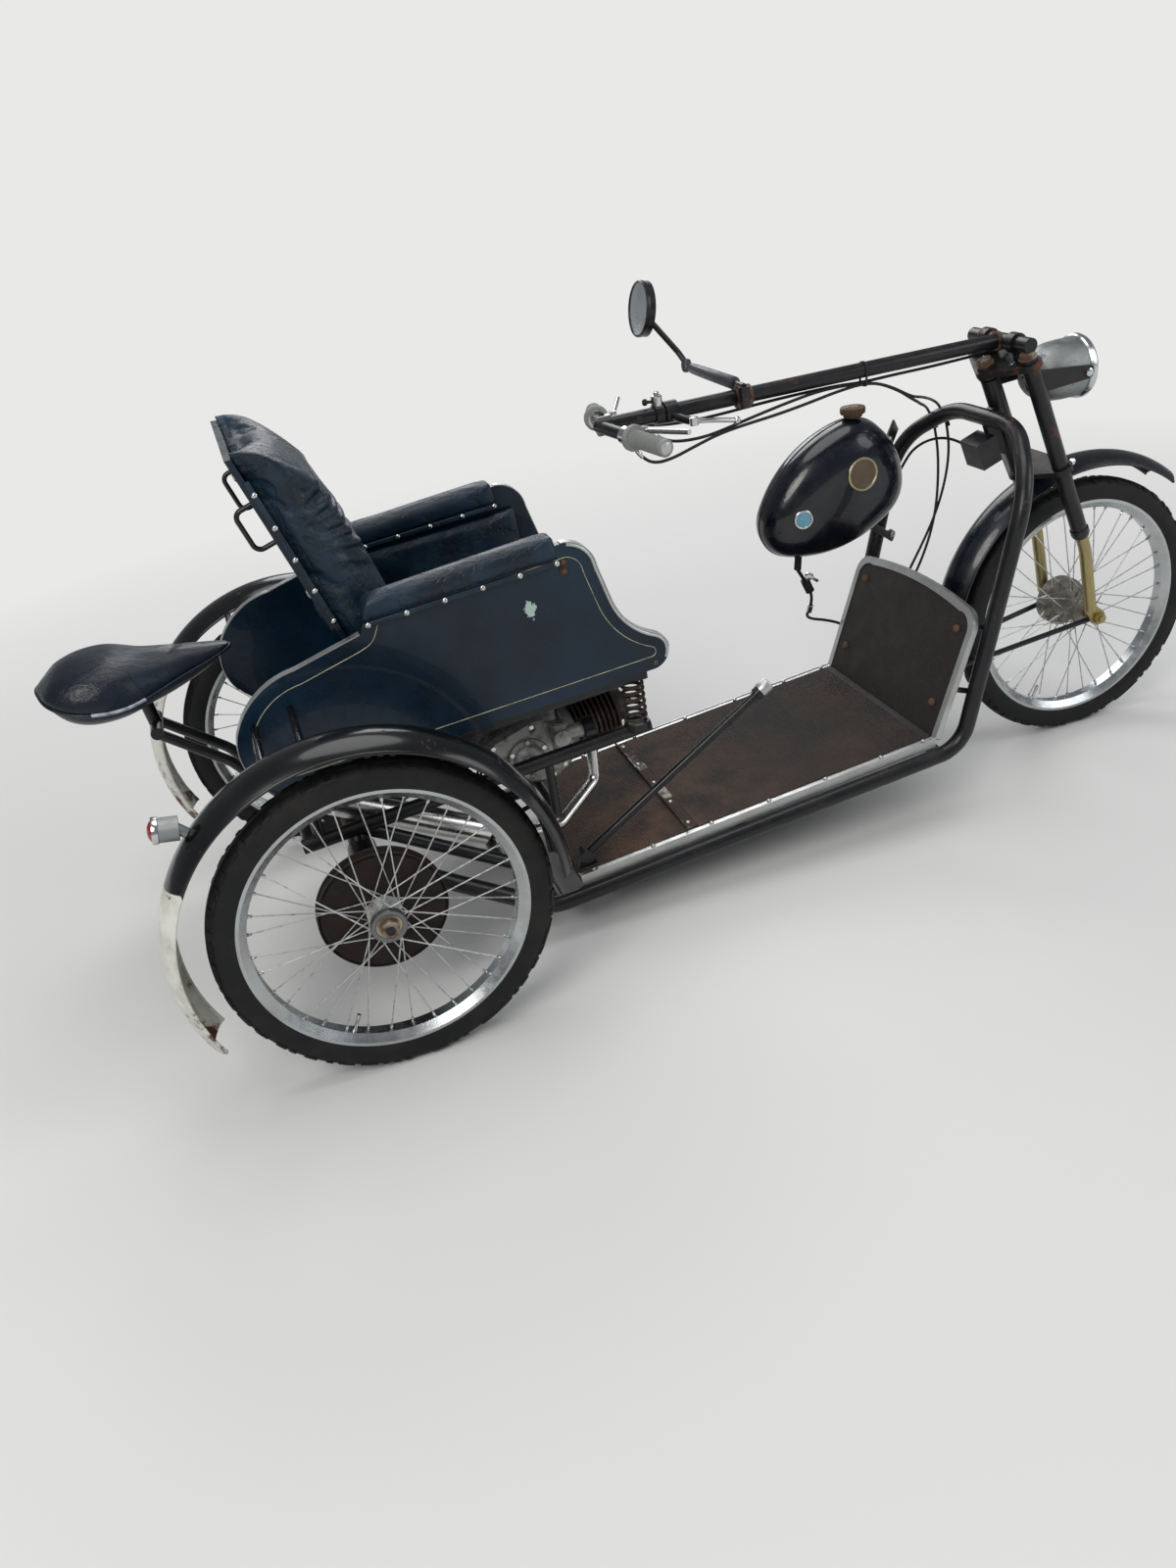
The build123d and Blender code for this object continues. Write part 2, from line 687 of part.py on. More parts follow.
# Coil springs between the subframe's front ends and the seat's bearers
COILS = 6
spring_low = sub_z(SPRING_X) + SUB_D / 2 + 2 + RUN_GAP
spring_high = seat_z(SPRING_X) - BEARER - 2 * RUN_GAP - 1.5
pitch = (spring_high - spring_low) / COILS
with BuildPart() as seat_springs:
    for sign in (-1, 1):
        origin = at(SPRING_X, sign * FRAME_Y, spring_low)
        with BuildSketch(Plane(origin=origin, x_dir=(1, 0, 0), z_dir=(0, -1, 0))):
            with BuildLine():
                start = (SPRING_R - 3, 0)
                inner = Line((SPRING_R - 6, COILS * pitch), (SPRING_R - 6, 0))
                Line(inner @ 1, start)
                for coil in range(COILS):
                    low = (SPRING_R - 3, coil * pitch)
                    mid = (SPRING_R + 3, (coil + 0.5) * pitch)
                    high = (SPRING_R - 3, (coil + 1) * pitch)
                    ThreePointArc(low, mid, high)
                Line(high, inner @ 0)
            make_face()
        revolve(axis=Axis(origin, (0, 0, 1)))
save(seat_springs.part, "seat_springs")

# Engine: crankcase across the frame, cylinder forward, enclosed chain on its left
CYL_RISE = 8
cyl_dir = Vector(cos(radians(CYL_RISE)), 0, sin(radians(CYL_RISE)))
case_centre = at(ENGINE_X, ENGINE_Y, ENGINE_Z)
with BuildPart() as engine_crankcase:
    with BuildSketch(side(ENGINE_Y)):
        with Locations((ENGINE_X, ENGINE_Z)):
            Circle(CASE_R)
        with Locations((ENGINE_X - 78, ENGINE_Z + 4)):
            Circle(46)
        make_hull()
    extrude(amount=CASE_HALF, both=True)
    chamfer(engine_crankcase.edges().filter_by(GeomType.CIRCLE), length=9)
    with BuildSketch(side(ENGINE_Y)):
        with Locations((380, (262 + 11 + RUN_GAP + ENGINE_Z) / 2)):
            Rectangle(30, ENGINE_Z - 262 - 11 - RUN_GAP)
    extrude(amount=20, both=True)
    rod(case_centre + cyl_dir * 30, case_centre + cyl_dir * 82, 46)
save(engine_crankcase.part, "engine_crankcase")

FINS = 9
FIN_T = 3.5
FIN_STEP = 10.5
FIN_START = 88
with BuildPart() as engine_cylinder:
    barrel_end = FIN_START + FINS * FIN_STEP
    rod(case_centre + cyl_dir * (82 + RUN_GAP), case_centre + cyl_dir * (barrel_end + 16), 34)
    for fin in range(FINS):
        start = FIN_START + fin * FIN_STEP
        rod(case_centre + cyl_dir * start, case_centre + cyl_dir * (start + FIN_T), 52)
    rod(case_centre + cyl_dir * (barrel_end + 16), case_centre + cyl_dir * (barrel_end + 34), 9)
save(engine_cylinder.part, "engine_cylinder")

CARB_X = 430
CARB_Z = 388
case_side = ENGINE_Y - CASE_HALF
with BuildPart() as carburettor:
    rod(at(CARB_X, case_side - RUN_GAP, CARB_Z), at(CARB_X, case_side - 12, CARB_Z), 12)
    rod(at(CARB_X, case_side - 8, CARB_Z), at(CARB_X, case_side - 46, CARB_Z), 17)
    rod(at(CARB_X, case_side - 26, CARB_Z + 30), at(CARB_X, case_side - 26, CARB_Z - 32), 14)
    rod(at(CARB_X, case_side - 26, CARB_Z), at(CARB_X + 48, case_side - 26, CARB_Z), 15)
save(carburettor.part, "carburettor")

CHAIN_HALF = 16
CHAIN_Y = ENGINE_Y + CASE_HALF + CHAIN_HALF + RUN_GAP
with BuildPart() as chain_case:
    with BuildSketch(side(CHAIN_Y)):
        with Locations((ENGINE_X - 60, ENGINE_Z)):
            Circle(42)
        with Locations((0, TYRE_R)):
            Circle(62)
        make_hull()
        with Locations((0, TYRE_R)):
            Circle(BEAM_D / 2 + RUN_GAP, mode=Mode.SUBTRACT)
    extrude(amount=CHAIN_HALF, both=True)
save(chain_case.part, "chain_case")

with BuildPart() as exhaust:
    mouth = case_centre + cyl_dir * 120 + Vector(0, 0, -56.2)
    pipe = [mouth, at(505, -60, 232), at(400, -128, 190), at(290, -140, 206), at(240, -140, 234)]
    tube(pipe, 24, 26)
    rod(at(248, -140, 230), at(-40, -140, 391), 27)
    rod(at(-40, -140, 391), at(-92, -140, 420), 9)
save(exhaust.part, "exhaust")

# Fuel tank on the left leg
# The tank's side is drawn round three rounds: ahead of the cap, height, radius
TANK_ROUNDS = [(-162, 604, 78), (-10, 710, 92), (30, 650, 88)]
TANK_EDGE_R = 56
with BuildPart() as fuel_tank:
    with BuildSketch(side(TANK_Y)):
        for ahead, z, radius in TANK_ROUNDS:
            with Locations((TANK_X + ahead, z)):
                Circle(radius)
        make_hull()
    extrude(amount=TANK_HALF, both=True)
    fillet(fuel_tank.faces().filter_by(Axis.Y).edges(), radius=TANK_EDGE_R)
save(fuel_tank.part, "fuel_tank")

with BuildPart() as tank_cap:
    rod(at(TANK_X, TANK_Y, 802 + RUN_GAP), at(TANK_X, TANK_Y, 809), 20)
    rod(at(TANK_X, TANK_Y, 809), at(TANK_X, TANK_Y, 822), 26)
save(tank_cap.part, "tank_cap")

with BuildPart() as fuel_line:
    rod(at(TANK_X - 146, TANK_Y, 525.2), at(TANK_X - 150, TANK_Y, 492), 8)
    rod(at(TANK_X - 150, TANK_Y, 492), at(TANK_X - 134, TANK_Y, 462), 4)
    rod(at(TANK_X - 134, TANK_Y, 464), at(TANK_X - 122, TANK_Y, 434), 10)
save(fuel_line.part, "fuel_line")



# Mudguards: pressed sheet with a round crown and rolled edges, swept round each wheel


def guard_section(x, z, y, radius, width, start):
    """Section of a mudguard on the plane through its centre at the start angle."""
    angle = radians(start)
    plane = Plane(origin=at(x, y, z), x_dir=(0, 1, 0), z_dir=(sin(angle), 0, -cos(angle)))
    half = width / 2
    skirt = radius - GUARD_CROWN
    with BuildSketch(plane) as section:
        with BuildLine() as skin:
            outer = ThreePointArc((-half, skirt), (0, radius), (half, skirt))
            edge = Line(outer @ 1, (half - GUARD_T, skirt))
            inner = ThreePointArc(edge @ 1, (0, radius - GUARD_T), (GUARD_T - half, skirt))
            Line(inner @ 1, outer @ 0)
        make_face(skin.edges())
        with Locations((half - 2.5, skirt), (2.5 - half, skirt)):
            Circle(3)
    return section.sketch


def make_guard(x, z, y, radius, width, arc):
    revolve(
        guard_section(x, z, y, radius, width, arc[0]),
        axis=Axis(at(x, y, z), (0, -1, 0)),
        revolution_arc=arc[1] - arc[0],
    )


REAR_GUARD_X = -17
REAR_GUARD_Z = TYRE_R + 4
with BuildPart() as rear_guards:
    for sign in (-1, 1):
        make_guard(REAR_GUARD_X, REAR_GUARD_Z, sign * WHEEL_Y, REAR_GUARD_R, REAR_GUARD_W, REAR_GUARD)
    for sign in (-1, 1):
        for x, z in ((-60, 628), (-128, 610)):
            rod(at(x, sign * (PANEL_Y + RUN_GAP), z), at(x, sign * (WHEEL_Y - REAR_GUARD_W / 2 + 3), z), 7)
save(rear_guards.part, "rear_guards")


with BuildPart() as tail_lamp:
    lamp = at(-278, -WHEEL_Y, 566)
    guard_centre = at(REAR_GUARD_X, -WHEEL_Y, REAR_GUARD_Z)
    outward = (lamp - guard_centre).normalized()
    rod(guard_centre + outward * (REAR_GUARD_R + 0.6), lamp + outward * 6, 9)
    rod(lamp + Vector(3, 0, 0), lamp + Vector(-34, 0, 6), 20)
save(tail_lamp.part, "tail_lamp")

with BuildPart() as front_guard:
    make_guard(WHEELBASE, TYRE_R, 0, FRONT_GUARD_R, FRONT_GUARD_W, FRONT_GUARD)
    for sign in (-1, 1):
        near = at(WHEELBASE - 16, sign * (FORK_HALF - 4 - 6.5), TYRE_R - 6)
        reach = FRONT_GUARD_R - GUARD_CROWN
        brace_x = WHEELBASE + reach * cos(radians(FRONT_GUARD[1] - 2))
        brace_z = TYRE_R + reach * sin(radians(FRONT_GUARD[1] - 2))
        rod(near, at(brace_x, sign * (FRONT_GUARD_W / 2 + 4), brace_z), 6)
save(front_guard.part, "front_guard")

# Saddle behind the back: wide at the rear, narrow nose forward, on a bracket from the subframe
with BuildPart() as saddle:
    with BuildSketch(level(500)):
        with BuildLine():
            rear = ThreePointArc((-400, 108), (-SADDLE_REACH, 0), (-400, -108))
            flank = ThreePointArc(rear @ 1, (-300, -86), (-225, -34))
            nose_side = Line(flank @ 1, (-160, -24))
            nose = ThreePointArc(nose_side @ 1, (-142, 0), (-160, 24))
            Line(nose @ 1, (-225, 34))
            ThreePointArc((-225, 34), (-300, 86), rear @ 0)
        make_face()
    extrude(amount=300)
    with BuildSketch(side(0)):
        with BuildLine():
            rump = ThreePointArc((-480, 640), (-474, 700), (-380, 728))
            dip = ThreePointArc(rump @ 1, (-290, 712), (-130, 704))
            nose = Line(dip @ 1, (-130, 676))
            under = ThreePointArc(nose @ 1, (-250, 660), (-330, 612))
            Line(under @ 1, rump @ 0)
        make_face()
    extrude(amount=200, both=True, mode=Mode.INTERSECT)
save(saddle.part, "saddle")

with BuildPart() as saddle_bracket:
    for sign in (-1, 1):
        tube([at(SUB_REAR + 4.2, sign * 34, 349), at(-190, sign * 34, 470), at(-300, sign * 34, 560)], 20, 60)
    rod(at(-300, -46, 564), at(-300, 46, 564), 12)
    rod(at(-300, 0, 564), at(-307, 0, 621.6), 12)
save(saddle_bracket.part, "saddle_bracket")

with BuildPart() as hand_lever:
    rod(at(424, -216, 150), at(424, -190, 150), 14)
    with BuildSketch(side(-203)):
        with BuildLine():
            Polyline(
                (404, floor_z(404) + RUN_GAP),
                (444, floor_z(444) + RUN_GAP),
                (436, 150),
                (412, 150),
                close=True,
            )
        make_face()
    extrude(amount=9, both=True)
    rod(at(424, -203, 150), at(820, -200, 396), 8)
    rod(at(820, -200, 396), at(850, -200, 415), 13)
save(hand_lever.part, "hand_lever")

# Steering: yokes on a stem through the head, two legs, wheel, headlight and the long tiller
fork_forward = Vector(cos(radians(RAKE)), 0, sin(radians(RAKE)))


def yoke_plane(s):
    """Plane square to the steering axis: local x forward, local y to the left."""
    return Plane(origin=on_axis(s), x_dir=fork_forward, z_dir=steer_down * -1)


def on_leg(s, y):
    return on_axis(s) + fork_forward * FORK_OFFSET + Vector(0, y, 0)


LOW_YOKE = HEAD_TOP + HEAD_LENGTH + 14
with BuildPart() as fork_yokes:
    for s in (TOP_YOKE, LOW_YOKE):
        with BuildSketch(yoke_plane(s + YOKE_T / 2)):
            Circle(24)
            with Locations((FORK_OFFSET, FORK_HALF), (FORK_OFFSET, -FORK_HALF)):
                Circle(LEG_R + 7)
            make_hull()
            with Locations((FORK_OFFSET, FORK_HALF), (FORK_OFFSET, -FORK_HALF)):
                Circle(LEG_R + RUN_GAP, mode=Mode.SUBTRACT)
        extrude(amount=YOKE_T)
    rod(on_axis(TOP_YOKE - 12), on_axis(LOW_YOKE + 8), STEM_R)
    rod(on_axis(TOP_YOKE), on_axis(HEAD_TOP - 6), HEAD_R + 3)
    rod(on_axis(TOP_YOKE - 14), on_axis(TOP_YOKE - 5), STEM_R + 5)
save(fork_yokes.part, "fork_yokes")

leg_end_s = (on_leg(0, 0).Z - LEG_END_Z) / cos(radians(RAKE))
with BuildPart() as fork_legs:
    for sign in (-1, 1):
        rod(on_leg(TOP_YOKE - 14, sign * FORK_HALF), on_leg(leg_end_s, sign * FORK_HALF), LEG_R)
save(fork_legs.part, "fork_legs")

LUG_T = 8
with BuildPart() as fork_sliders:
    for sign in (-1, 1):
        y = sign * FORK_HALF
        slider_end = at(SLIDER_END[0], y, SLIDER_END[1])
        tube([on_leg(leg_end_s + RUN_GAP, y), on_leg(leg_end_s + 40, y), slider_end], 2 * SLIDER_R, 120)
        with BuildSketch(side(y)):
            with Locations(SLIDER_END):
                Circle(SLIDER_R)
            with Locations((WHEELBASE, TYRE_R)):
                Circle(18)
            make_hull()
            with Locations((WHEELBASE, TYRE_R)):
                Circle(SPINDLE_R + RUN_GAP, mode=Mode.SUBTRACT)
        extrude(amount=LUG_T / 2, both=True)
save(fork_sliders.part, "fork_sliders")

lug_out = FORK_HALF + LUG_T / 2
lug_in = FORK_HALF - LUG_T / 2
with BuildPart() as front_axle:
    rod(at(WHEELBASE, -lug_out - 16, TYRE_R), at(WHEELBASE, lug_out + 16, TYRE_R), SPINDLE_R)
    for sign in (-1, 1):
        with BuildSketch(side(sign * (lug_out + 6 + RUN_GAP))):
            with Locations((WHEELBASE, TYRE_R)):
                RegularPolygon(radius=13, side_count=6)
        extrude(amount=5, both=True)
    rod(at(WHEELBASE, lug_in - RUN_GAP, TYRE_R), at(WHEELBASE, lug_in - 16, TYRE_R), 13)
    rod(at(WHEELBASE, -lug_in + RUN_GAP, TYRE_R), at(WHEELBASE, -lug_in + 28, TYRE_R), 13)
save(front_axle.part, "front_axle")


LAMP_X = WHEELBASE - 75
LAMP_Z = 845
LAMP_R = 63
with BuildPart() as headlight_shell:
    with BuildSketch(Plane(origin=at(LAMP_X, 0, LAMP_Z), x_dir=(1, 0, 0), z_dir=(0, -1, 0))):
        with BuildLine():
            axis_line = Line((52, 0), (-80, 0))
            bowl = ThreePointArc(axis_line @ 1, (-34, 47), (40, LAMP_R - 3))
            rim = Line(bowl @ 1, (40, LAMP_R))
            lip = Line(rim @ 1, (52, LAMP_R))
            Line(lip @ 1, axis_line @ 0)
        make_face()
    revolve(axis=Axis(at(LAMP_X, 0, LAMP_Z), (1, 0, 0)))
save(headlight_shell.part, "headlight_shell")

with BuildPart() as headlight_glass:
    with BuildSketch(Plane(origin=at(LAMP_X, 0, LAMP_Z), x_dir=(1, 0, 0), z_dir=(0, -1, 0))):
        with BuildLine():
            rear = Line((52 + RUN_GAP, 0), (52 + RUN_GAP, LAMP_R - 5))
            edge = Line(rear @ 1, (55, LAMP_R - 5))
            dome = TangentArc((62, 0), edge @ 1, tangent=(0, 1))
            Line(rear @ 0, dome @ 0)
        make_face()
    revolve(axis=Axis(at(LAMP_X, 0, LAMP_Z), (1, 0, 0)))
save(headlight_glass.part, "headlight_glass")

with BuildPart() as headlight_ears:
    for sign in (-1, 1):
        with BuildSketch(side(sign * (LAMP_R + 2.5))):
            with Locations((LAMP_X - 94, LAMP_Z + 2)):
                Circle(24)
            with Locations((LAMP_X + 30, LAMP_Z)):
                Circle(14)
            make_hull()
        extrude(amount=1.8, both=True)
save(headlight_ears.part, "headlight_ears")

RISER_Y = 46
TIE_X = TILLER_REAR + 535
TIE_DROP = -25.4
with BuildPart() as tiller:
    rod(at(TILLER_REAR, 0, TILLER_Z), at(TILLER_FRONT, 0, TILLER_Z), TILLER_D / 2)
    rod(at(TILLER_FRONT, -TBAR_HALF, TILLER_Z), at(TILLER_FRONT, TBAR_HALF, TILLER_Z), TILLER_D / 2)
    for sign in (-1, 1):
        head = at(TILLER_FRONT, sign * RISER_Y, TILLER_Z)
        foot = head + steer_down * (TOP_YOKE - YOKE_T / 2 - RUN_GAP - (head - steer_top).dot(steer_down))
        rod(foot, head, 11)
        rod(head + Vector(0, -11, 0), head + Vector(0, 11, 0), TILLER_D / 2 + 5)
    rod(at(TILLER_REAR + 260, 0, TILLER_Z), at(TILLER_REAR + 285, 0, TILLER_Z), TILLER_D / 2 + 4)
    with BuildSketch(Plane(origin=at(TIE_X, 0, TILLER_Z), x_dir=(0, 1, 0), z_dir=(1, 0, 0))):
        Circle(TILLER_D / 2 + 2)
        with Locations((6.5, TIE_DROP), (-6.5, TIE_DROP)):
            Circle(CABLE_D / 2 + 3.2)
        make_hull()
        with BuildSketch(mode=Mode.PRIVATE) as inside:
            Circle(TILLER_D / 2 - 1)
            with Locations((6.5, TIE_DROP), (-6.5, TIE_DROP)):
                Circle(CABLE_D / 2 + 1.5)
            make_hull()
        add(inside.sketch, mode=Mode.SUBTRACT)
    extrude(amount=2, both=True)
save(tiller.part, "tiller")

BAR_X = TILLER_REAR - 23
BAR_R = 12
BAR_SWEEP = 54
BAR_DROP = 14
BAR_HALF = 200
GRIP_L = 104
bar_tip = {sign: at(BAR_X + BAR_SWEEP, sign * BAR_HALF, TILLER_Z - BAR_DROP) for sign in (-1, 1)}
bar_along = {sign: (at(BAR_X, 0, TILLER_Z) - bar_tip[sign]).normalized() for sign in (-1, 1)}
with BuildPart() as handlebar:
    for sign in (-1, 1):
        rod(bar_tip[sign], at(BAR_X, 0, TILLER_Z), BAR_R)
    rod(at(BAR_X - 4, 0, TILLER_Z), at(TILLER_REAR - RUN_GAP, 0, TILLER_Z), 18)
save(handlebar.part, "handlebar")

with BuildPart() as grips:
    for sign in (-1, 1):
        tip = bar_tip[sign]
        along = bar_along[sign]
        rod(tip - along * 4, tip + along * GRIP_L, GRIP_R)
        rod(tip + along * (GRIP_L - 12), tip + along * GRIP_L, 24)
        rod(tip, tip + along * (GRIP_L + 2), BAR_R + RUN_GAP, Mode.SUBTRACT)
save(grips.part, "grips")

MIRROR = (TILLER_REAR + 177, 268, 1083)
MIRROR_R = 54
centre = at(*MIRROR)
mirror_back = Vector(16, 0, -3).normalized()
with BuildPart() as mirror_arm:
    tube([at(917, -34, 955), at(917, 240, 955), at(905, 262, 985), at(848.6, 266, 1061)], 12, 16)
    rod(at(917, -34, 955), at(917, -34, 915), 11)
save(mirror_arm.part, "mirror_arm")

with BuildPart() as mirror_head:
    rod(centre, centre + mirror_back * 16, MIRROR_R)
save(mirror_head.part, "mirror_head")

with BuildPart() as mirror_glass:
    rod(centre - mirror_back * RUN_GAP, centre - mirror_back * (RUN_GAP + 2), MIRROR_R - 4)
save(mirror_glass.part, "mirror_glass")

# Brake and clutch levers on the handlebar, each on a clamp just inside its grip
with BuildPart() as hand_levers:
    for sign in (-1, 1):
        along = bar_along[sign]
        clamp = bar_tip[sign] + along * (GRIP_L + 14)
        rod(clamp - along * 7, clamp + along * 7, BAR_R + 5)
        rod(clamp - along * 9, clamp + along * 9, BAR_R + RUN_GAP, Mode.SUBTRACT)
        pivot = clamp + Vector(34, 0, 2)
        rod(clamp + Vector(BAR_R + 2, 0, 1), pivot, 6)
        rod(pivot + Vector(0, 0, -6), pivot + Vector(0, 0, 8), 8)
        rod(pivot, pivot - along * 108 + Vector(20, 0, 14), 5)
save(hand_levers.part, "hand_levers")

# Control cables, tied under the tiller


def cable(points):
    """Cable along hand-chosen points, each bend as large as its two runs allow."""
    radii = []
    for before, corner, after in zip(points, points[1:], points[2:]):
        run_in = corner - before
        run_out = after - corner
        turn = radians(run_in.get_angle(run_out))
        radii.append(0.45 * min(run_in.length, run_out.length) / tan(turn / 2))
    with BuildLine() as route:
        FilletPolyline(*points, radius=radii)
    with BuildSketch(Plane(origin=route.line @ 0, z_dir=route.line % 0)) as ring:
        Circle(CABLE_D / 2)
    sweep(ring.sketch, path=route.line)
    length = sum(edge.length for edge in route.edges())
    print("cable length", round(length), "tightest bend", round(min(radii)))


clamp_side = bar_tip[-1] + bar_along[-1] * (GRIP_L + 14)
def on_tiller(ahead, y, z):
    """A place ahead of the tiller's rear end."""
    return at(TILLER_REAR + ahead, y, z)


with BuildPart() as tiller_cables:
    cable([
        on_tiller(10, -105, 897.6),
        on_tiller(21, -104, 880),
        on_tiller(45, -100, 866),
        on_tiller(81, -93, 866),
        on_tiller(125, -82, 874),
        on_tiller(187, -67, 885),
        on_tiller(251, -52, 888),
        on_tiller(325, -36, 889),
        on_tiller(401, -24, 895),
        on_tiller(469, -13, 902),
        on_tiller(535, -6.5, 905.6),
        on_tiller(581, -8, 894),
        on_tiller(615, -12, 872),
    ])
    cable([
        on_tiller(51, -84, 916.5),
        on_tiller(77, -78, 897),
        on_tiller(117, -66, 886),
        on_tiller(171, -53, 882),
        on_tiller(227, -40, 887),
        on_tiller(291, -28, 895),
        on_tiller(359, -18, 903),
        on_tiller(427, -8, 909),
        on_tiller(485, -1, 908),
        on_tiller(535, 0, 905),
        on_tiller(587, 1, 892),
        on_tiller(623, 4, 870),
    ])
    cable([
        on_tiller(49, 84, 917),
        on_tiller(79, 74, 900),
        on_tiller(127, 56, 893),
        on_tiller(185, 38, 894),
        on_tiller(249, 24, 899),
        on_tiller(311, 13, 905),
        on_tiller(375, 8, 908),
        on_tiller(441, 6, 909),
        on_tiller(491, 6.5, 908),
        on_tiller(535, 6.6, 904.6),
        on_tiller(610, 9, 905.4),
        on_tiller(700, 14, 904.2),
        on_tiller(790, 19, 905.6),
        on_tiller(866, 16, 908),
        on_tiller(891, 17, 914),
        at(LAMP_X - 67.8, 19.4, LAMP_Z + 55.3),
        at(LAMP_X - 50.5, 12.2, LAMP_Z + 34.8),
    ])
save(tiller_cables.part, "tiller_cables")

# The throttle and clutch cables from the tiller's tie: over the arch's left shoulder, down before
# the front board, back under the floor beside the left rail, and up to the engine.
# Columns: place along the floor, shift to the left, sag below the cross tubes
UNDER_Y = 196
UNDER_FLOOR = [
    (1140, 0, 2),
    (1052, 3, 1),
    (964, -2, 3),
    (876, 4, 1),
    (788, 1, 0),
    (700, -3, 0),
    (612, 2, 2),
    (524, 4, 3),
    (436, 0, 1),
]
under_drop = 13 + CABLE_D / 2 + 0.6
with BuildPart() as frame_cables:
    cable([
        at(LEG_FOOT_X + 12, -11, 868),
        at(LEG_FOOT_X + 38, 2, 852),
        at(LEG_FOOT_X + 68, 30, 836),
        at(LEG_FOOT_X + 102, 74, 818),
        at(LEG_FOOT_X + 138, 122, 801),
        at(LEG_FOOT_X + 168, 162, 786),
        at(LEG_FOOT_X + 191, 188, 770),
        at(LEG_FOOT_X + 206, 191, 742),
        at(LEG_FOOT_X + 212, 188, 706),
        at(LEG_FOOT_X + 212, 181, 662),
        at(LEG_FOOT_X + 206, 172, 612),
        at(LEG_FOOT_X + 194, 160, 560),
        at(LEG_FOOT_X + 174, 148, 508),
        at(LEG_FOOT_X + 146, 140, 452),
        at(LEG_FOOT_X + 112, 137, 396),
        at(LEG_FOOT_X + 76, 140, 338),
        at(LEG_FOOT_X + 40, 150, 280),
        at(LEG_FOOT_X + 6, 164, 226),
        at(LEG_FOOT_X - 22, 176, 174),
        at(LEG_FOOT_X - 44, 186, 138),
        *[at(x, UNDER_Y + shift, rail_z(x) - under_drop - sag) for x, shift, sag in UNDER_FLOOR],
        at(374, 186, 61),
        at(328, 172, 62),
        at(299, 158, 94),
        at(288, 148, 156),
        at(292, 134, 210),
        at(302, 116, 264),
        at(316, 100, 318),
        at(334, 88, 370),
        at(358, 76, 416),
        at(386, 56, 450),
        at(408, 20, 468),
        at(422, -22, 474),
        at(430, -64, 472),
        at(432, -98, 462),
        at(430, -121, 445),
        at(CARB_X, case_side - 26, CARB_Z + 31.6),
    ])
    cable([
        at(LEG_FOOT_X + 21, 6, 866),
        at(LEG_FOOT_X + 48, 22, 852),
        at(LEG_FOOT_X + 80, 52, 840),
        at(LEG_FOOT_X + 118, 92, 826),
        at(LEG_FOOT_X + 156, 132, 810),
        at(LEG_FOOT_X + 186, 162, 796),
        at(LEG_FOOT_X + 214, 180, 778),
        at(LEG_FOOT_X + 232, 184, 746),
        at(LEG_FOOT_X + 240, 184, 706),
        at(LEG_FOOT_X + 240, 182, 662),
        at(LEG_FOOT_X + 232, 180, 616),
        at(LEG_FOOT_X + 214, 174, 568),
        at(LEG_FOOT_X + 188, 168, 518),
        at(LEG_FOOT_X + 154, 163, 466),
        at(LEG_FOOT_X + 118, 162, 410),
        at(LEG_FOOT_X + 82, 166, 352),
        at(LEG_FOOT_X + 46, 174, 294),
        at(LEG_FOOT_X + 12, 186, 238),
        at(LEG_FOOT_X - 11, 198, 186),
        at(LEG_FOOT_X - 30, 206, 146),
        *[
            at(x + 14, UNDER_Y + 14 + shift / 2, rail_z(x + 14) - under_drop - sag / 2)
            for x, shift, sag in UNDER_FLOOR
        ],
        at(388, 200, 62),
        at(338, 186, 61),
        at(307, 176, 88),
        at(298, 166, 142),
        at(300, 150, 190),
        at(306, 130, 238),
        at(318, 108, 282),
        at(340, 88, 318),
        at(368, 72, 340),
        at(398, 58, 350),
        at(420, 38, 354),
        at(431, 24.4, 354),
    ])
    # Wiring from the coil along under the arch to the left leg
    cable([
        at(LEG_FOOT_X + 199, 32.5, 708),
        at(LEG_FOOT_X + 200, 58, 714),
        at(LEG_FOOT_X + 197, 92, 719),
        at(LEG_FOOT_X + 190, 127, 719),
        at(LEG_FOOT_X + 180, 160, 711),
        at(LEG_FOOT_X + 169, 187, 697),
        at(LEG_FOOT_X + 158, 207, 678),
        at(LEG_FOOT_X + 149, 219, 655),
        at(LEG_FOOT_X + 140.6, 229, 631),
    ])
save(frame_cables.part, "frame_cables")

# Ignition coil in its box under the arch
with BuildPart() as coil_box:
    with BuildSketch(side(0)):
        with Locations((1463, 713)):
            Rectangle(46, 58, rotation=19.1)
    extrude(amount=32, both=True)
save(coil_box.part, "coil_box")
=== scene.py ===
# %% [markdown]
# # A motorised invalid carriage, dressed for a picture
#
# The carriage has two rear wheels, one steered front wheel and a padded armchair between them.
# The driver steers with a long tiller. A small motor sits under the seat.
# Its solids come from the CAD model, and this lesson gives them their surfaces and their small parts.

# %% Tools and the fixed frame
import math

import bpy
from mathutils import Matrix, Vector


